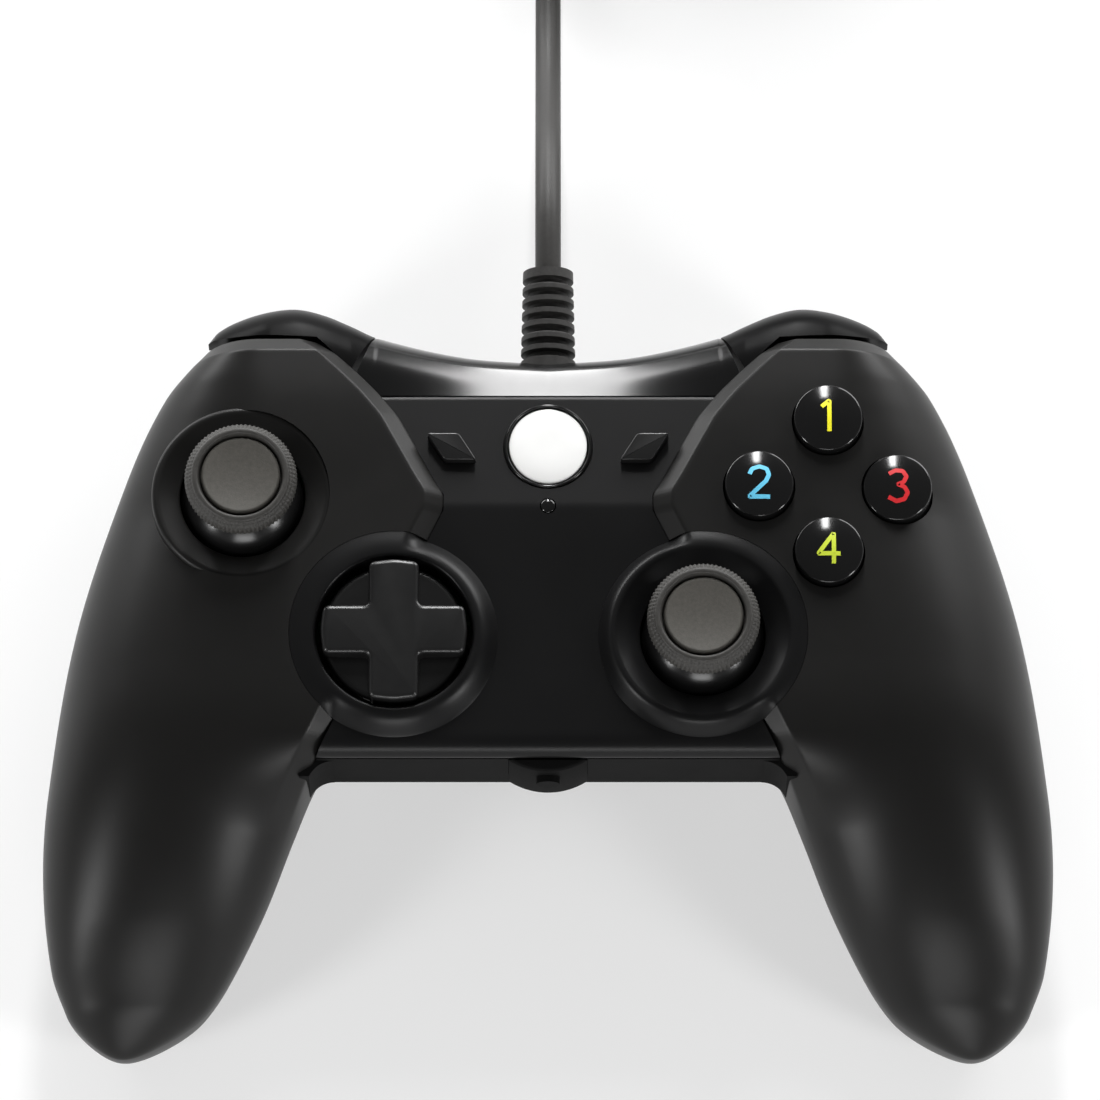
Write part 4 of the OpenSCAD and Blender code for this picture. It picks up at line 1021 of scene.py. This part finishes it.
def triggerSurface(t):
    # a curved lever's side outline drawn across x, its edges rolled in at both ends
    loop = softLoop(np.array(t["outline"]), 0.3, 0.6) + t["pivot"]
    levels = rolledEnds(t["from"], t["to"], t["edge"], t["edge"] * 0.6)
    return swapAxes(pillow(loop, levels), [2, 0, 1])


for key, surface in (("right", triggerSurface(trigger)), ("left", mirrored(triggerSurface(trigger)))):
    add(key + "Trigger", surface, key + "_trigger", "panel", key + "_trigger")
print("shoulders made")


# Sticks

stick = {"pivot": 35.0, "dome": 10.1, "domeEdge": 3.5, "cap": 8.6, "disc": 6.05, "top": 12.0, "knurls": 80,
         "knurlDeep": 0.17, "shaft": 1.5}


def domeSurface(s, at):
    # shaft and hollow dome turned as one profile
    z = s["pivot"]
    outer, inner = s["dome"], s["dome"] - 1.2
    a0 = math.asin(s["domeEdge"] / outer)
    a1 = math.asin(s["domeEdge"] / inner)
    under = np.radians(np.linspace(80, math.degrees(a1), 24))
    over = np.radians(np.linspace(math.degrees(a0), 71, 30))
    profile = np.vstack([
        [[0, z - 3], [s["shaft"], z - 3], [s["shaft"], z + inner * math.sin(math.radians(80))]],
        np.stack([inner * np.cos(under), z + inner * np.sin(under)], -1),
        np.stack([outer * np.cos(over), z + outer * np.sin(over)], -1),
        [[3.1, face + 6.6], [0, face + 6.6]],
    ])
    return turned(softLine(profile, 0.14, 0.22), at, 128)


def capSurface(s, at):
    # the cap's flared underside, shoulder and seat, with small teeth round the shoulder
    high = face + s["top"]
    profile = [(0, face + 6.1), (3.2, face + 6.2), (s["cap"] - 1.2, face + 7.6), (s["cap"], face + 8.6),
               (s["cap"], face + 10.2), (s["cap"] - 1.3, high), (s["disc"] + 0.55, high),
               (s["disc"] + 0.15, high - 1.5), (0, high - 1.5)]
    line = softLine(profile, 0.12, 0.3)
    height = line[:, 1]
    band = ease((height - face - 8.2) / 0.5) * ease((high - 0.05 - height) / 0.5)
    band = band * (line[:, 0] > s["disc"] + 0.9)
    beat = np.sin(height * 2 * np.pi / 0.6) * 0.5 + 0.5

    def teeth(angle, row):
        wave = np.clip(np.cos(angle * s["knurls"]) * 1.6, -1, 1) * 0.5 + 0.5
        return -s["knurlDeep"] * band[row] * (1 - wave * beat[row])

    return turned(line, at, 480, teeth)


def discSurface(s, at):
    # a thin disc let into the cap, dished like a shallow bowl, with its edge rolled over
    high = face + s["top"]
    x = np.linspace(s["disc"] - 0.35, 0, 24)
    bowl = np.stack([x, high - 1.15 + 0.75 * (x / s["disc"]) ** 2], -1)
    profile = np.vstack([[(0, high - 1.6), (s["disc"], high - 1.6), (s["disc"], high - 0.75)], bowl])
    return turned(softLine(profile, 0.08, 0.2), at, 128)


for key in ("left", "right"):
    at, body = controls[key + "Stick"], key + "_stick"
    add(key + "StickDome", domeSurface(stick, at), body, "stick", body + "_cap", look="dome")
    # the cap's rim takes the darker copy of the stick's rubber, painted shade
    add(key + "StickCap", capSurface(stick, at), body, "stick", look="rim", sharp=60)
    add(key + "StickDisc", discSurface(stick, at), body, "stick")
print("sticks turned")


# Direction pad

cross = {"span": 22.4, "arm": 7.6, "reach": 11.4, "low": 0.2, "top": 4.4, "edge": 0.8, "plate": 11.0,
         "plateThick": 1.2, "lugWide": 3.6, "lugThick": 1.4, "lugAt": 4.1, "lugLow": -3.8, "lugTop": 0.7}


def crossSurface(c, at):
    # a plus outline stacked upwards, its upper edge rolled over, on a round plate with two lugs below
    s, w = c["span"] / 2, c["arm"] / 2
    e = math.sqrt(c["reach"] ** 2 - w**2)
    quarter = np.array([[e, -w], [s, 0], [e, w], [w, w]])
    quarters = np.arange(4) * math.pi / 2
    turns = [np.array([[math.cos(k), -math.sin(k)], [math.sin(k), math.cos(k)]]) for k in quarters]
    outline = softLoop(np.vstack([quarter @ t.T for t in turns]), 0.16, 0.9)
    top = face + c["top"]
    levels = [(0, face + c["low"]), (0, top - c["edge"] - 0.02)] + rolledTop(top, c["edge"], 7)
    arms = pillow(outline + at, levels)
    foot, r, high = face + c["low"], c["plate"], face + c["low"] + c["plateThick"]
    plate = [(0, foot), (r, foot), (r, high - 0.3), (r - 0.6, high), (0, high)]
    lugX = (at[0] - c["lugWide"] / 2, at[0] + c["lugWide"] / 2)
    lugs = []
    for y in (at[1] - c["lugAt"], at[1] + c["lugAt"]):
        lugY = (y - c["lugThick"] / 2, y + c["lugThick"] / 2)
        lugs.append(block(lugX, lugY, (face + c["lugLow"], face + c["lugTop"])))
    return joined(arms, turned(softLine(plate, 0.2, 0.2), at, 96), *lugs)


add("dpadCross", crossSurface(cross, controls["dpad"]), "dpad", "panel", "dpad_cross", look="cross")
print("direction pad made")


# Face buttons with plain numerals

def coverHeight(x, y):
    # height of the right cover's top at a place
    e = gripLines(np.array([[y]], float))
    s = np.maximum(0, (x - e["coverMiddle"]) / e["coverHalf"])
    return (e["rim"] + e["rise"] * np.sqrt(1 - s * s)).item()


button = {"round": 14.0, "skirt": 8.0, "stem": 2.5, "stemFoot": 31.6}


def buttonSurface(b, at, top):
    # a short cylinder under a shallow dome, on a stem
    r = controls["faceDiameter"] / 2
    drop = b["round"] - math.sqrt(b["round"] ** 2 - r**2)
    x = np.linspace(r, 0, 24)
    dome = np.stack([x, top - b["round"] + np.sqrt(b["round"] ** 2 - x**2)], -1)
    profile = np.vstack([[[0, b["stemFoot"]], [b["stem"], b["stemFoot"]], [b["stem"], top - b["skirt"]],
                          [r, top - b["skirt"]], [r, top - drop]], dome])
    return turned(softLine(profile, 0.12, 0.3), at, 96)


numeral = {
    "scale": 1.12, "half": 0.33, "thick": 0.05,
    "top": {"colour": (0.78, 0.72, 0.02), "stroke": [(-0.9, 1.3), (0.15, 2.2), (0.15, -2.2)]},
    "left": {"colour": (0.12, 0.5, 0.72), "stroke": [
        (-1.35, 1.1), (-1.0, 1.85), (0.0, 2.2), (1.0, 1.85), (1.3, 1.0), (0.9, 0.1), (-1.4, -2.1),
        (1.45, -2.1)]},
    "right": {"colour": (0.55, 0.02, 0.025), "stroke": [
        (-1.2, 1.7), (-0.3, 2.2), (0.7, 2.1), (1.2, 1.3), (0.8, 0.5), (0.0, 0.15), (0.9, -0.2), (1.35, -1.0),
        (0.9, -1.9), (-0.2, -2.2), (-1.3, -1.6)]},
    "bottom": {"colour": (0.5, 0.6, 0.04), "stroke": [(0.6, -2.2), (0.6, 2.1), (-1.5, -0.8), (1.5, -0.8)]},
}


def numeralSurface(n, key, at, top):
    # a ribbon along a figure's one stroke, laid on the button's dome
    line = softLine(np.array(n[key]["stroke"]) * n["scale"], 0.1, 0.12)
    way = np.gradient(line, axis=0)
    way /= np.linalg.norm(way, axis=1)[:, None]
    side = np.stack([-way[:, 1], way[:, 0]], -1)
    ring = []
    for across, lift in ((-1, -1), (-1, 1), (1, 1), (1, -1)):
        flat = line + side * across * n["half"]
        dome = np.sqrt(button["round"] ** 2 - (flat**2).sum(1))
        ring.append(np.column_stack([flat + at, top - button["round"] + dome + lift * n["thick"]]))
    return loopLoft(np.stack(ring, 1))


for key, at in faceSpots.items():
    top = coverHeight(*at) + controls["faceRise"]
    body = "face_button_" + key
    add(key + "FaceButton", buttonSurface(button, at, top), body, "gloss", body, look="button")
    ink = key + "NumeralPaint"
    finishes[ink] = numeralPaint(ink, numeral[key]["colour"])
    add(key + "FaceNumeral", numeralSurface(numeral, key, at, top), body, "gloss", look=ink)
print("face buttons made")


# Guide button, its ring, the light and the menu buttons

guide = {"top": 0.3, "crown": 0.5, "skirt": 4.0, "stem": 2.0, "stemFoot": 29.8}


def guideSurface(g, at):
    # a white disc with a gently crowned top, on a stem
    r = controls["guideRadius"]
    x = np.linspace(r, 0, 40)
    crown = np.stack([x, face + g["top"] - g["crown"] * (x / r) ** 4], -1)
    foot, low = g["stemFoot"], face - g["skirt"]
    profile = np.vstack([[[0, foot], [g["stem"], foot], [g["stem"], low], [r, low]], crown])
    return turned(softLine(profile, 0.08, 0.12), at, 96)


add("guideButton", guideSurface(guide, controls["guide"]), "guide_button", "white", "guide_button")
ringProfile = np.array([(6.1, face - 5), (6.85, face - 5), (6.85, face - 0.6), (6.6, face + 0.1),
                        (6.35, face + 0.1), (6.1, face - 0.5)])
guideRing = turned(softLoop(ringProfile, 0.06, 0.1), controls["guide"], 128, shut=True)
add("guideRing", guideRing, "pad", "trim", "guide_ring", look="button")
lightProfile = [(0, 28.6), (1.2, 28.6), (1.2, face), (1.1, face + 0.25), (0.7, face + 0.45), (0, face + 0.5)]
statusLed = turned(softLine(lightProfile, 0.08, 0.2), controls["led"], 48)
add("statusLed", statusLed, "pad", "white", "status_led", look="button")
for key, side in (("left", -1), ("right", 1)):
    outline = menuOutline(side, 0.0)
    levels = [(0, face + menu["under"])] + rolledTop(face + menu["top"], menu["edge"], 6)
    cap = pillow(outline, levels)
    spot = (side * controls["menu"][0], controls["menu"][1])
    stem = rod(menu["stem"], spot, menu["stemFoot"], menu["stemTop"], 32)
    body = key + "_menu_button"
    add(key + "MenuButton", joined(cap, stem), body, "panel", body, look="cross")
print("guide and menu buttons made")


# Stage: pale floor, partly plain white to the camera, and soft studio lamps

studio = {
    "floor": 0.93, "floorHalf": 8, "glow": 0.45, "sky": 0.16, "horizon": 0.7, "aim": (0, 0, 0.03),
    "lamps": [
        {"name": "back", "at": (0.0, 0.86, 0.44), "size": (0.11, 0.7), "power": 9.5},
        {"name": "backLeft", "at": (-0.62, 0.9, 0.17), "size": (0.7, 0.35), "power": 7.0},
        {"name": "backRight", "at": (0.62, 0.9, 0.28), "size": (0.7, 0.56), "power": 10.0},
        {"name": "frontLeft", "at": (-0.8, -0.5, 0.42), "size": (0.2, 0.4), "power": 4.5},
        {"name": "frontRight", "at": (0.8, -0.5, 0.42), "size": (0.2, 0.4), "power": 4.5},
        {"name": "front", "at": (0.0, -0.95, 0.32), "size": (0.5, 0.22), "power": 3.0},
    ],
}


def paleFloor(name, shade, glow):
    # white paper with a faint cloud in it, part of it plain white where it is looked at or mirrored
    material, shader, coords = startMaterial(name, Roughness=0.9, Specular_IOR_Level=0.1)
    cloud = coords.noise(coords, 2.0)
    feed(shader, "Base Color", coords.blend(cloud, (shade,) * 3, (shade * 1.01,) * 3))
    seen = coords.node("LightPath", {}, {}, "Is Camera Ray")
    for ray in ("Is Glossy Ray", "Is Transmission Ray"):
        seen = seen + coords.node("LightPath", {}, {}, ray)
    tree = material.node_tree
    white = tree.nodes.new("ShaderNodeEmission")
    both = tree.nodes.new("ShaderNodeMixShader")
    tree.links.new((seen * glow).socket, both.inputs[0])
    tree.links.new(shader.outputs[0], both.inputs[1])
    tree.links.new(white.outputs[0], both.inputs[2])
    tree.links.new(both.outputs[0], tree.nodes["Material Output"].inputs["Surface"])
    return material


floorMesh = bpy.data.meshes.new("floor")
half = studio["floorHalf"]
corners = [(-half, -half, 0), (half, -half, 0), (half, half, 0), (-half, half, 0)]
floorMesh.from_pydata(corners, [], [(0, 1, 2, 3)])
floor = bpy.data.objects.new("floor", floorMesh)
bpy.context.scene.collection.objects.link(floor)
floorMesh.materials.append(paleFloor("floorPaper", studio["floor"], studio["glow"]))

# The sky is dark overhead, so that flat black faces stay black, and paler towards the horizon
world = bpy.data.worlds.new("studio")
bpy.context.scene.world = world
world.use_nodes = True
sky = Wire(world.node_tree)
height = sky.node("SeparateXYZ", {}, {0: sky.node("TexCoord", {}, {}, "Generated")}, 2)
stops = [(0.0, studio["horizon"]), (0.1, 0.6 * studio["horizon"]), (0.5, studio["sky"])]
level = height.node("ValToRGB", {"stops": stops}, {0: height})
background = world.node_tree.nodes["Background"]
background.inputs["Color"].default_value = (1, 1, 1, 1)
world.node_tree.links.new(level.socket, background.inputs["Strength"])
for lamp in studio["lamps"]:
    light = bpy.data.lights.new(lamp["name"], "AREA")
    light.shape = "RECTANGLE"
    light.size, light.size_y = lamp["size"]
    light.energy = lamp["power"]
    holder = bpy.data.objects.new(lamp["name"], light)
    bpy.context.scene.collection.objects.link(holder)
    holder.location = lamp["at"]
    aim = Vector(studio["aim"]) - holder.location
    holder.rotation_euler = aim.to_track_quat("-Z", "Y").to_euler()
print("stage set")
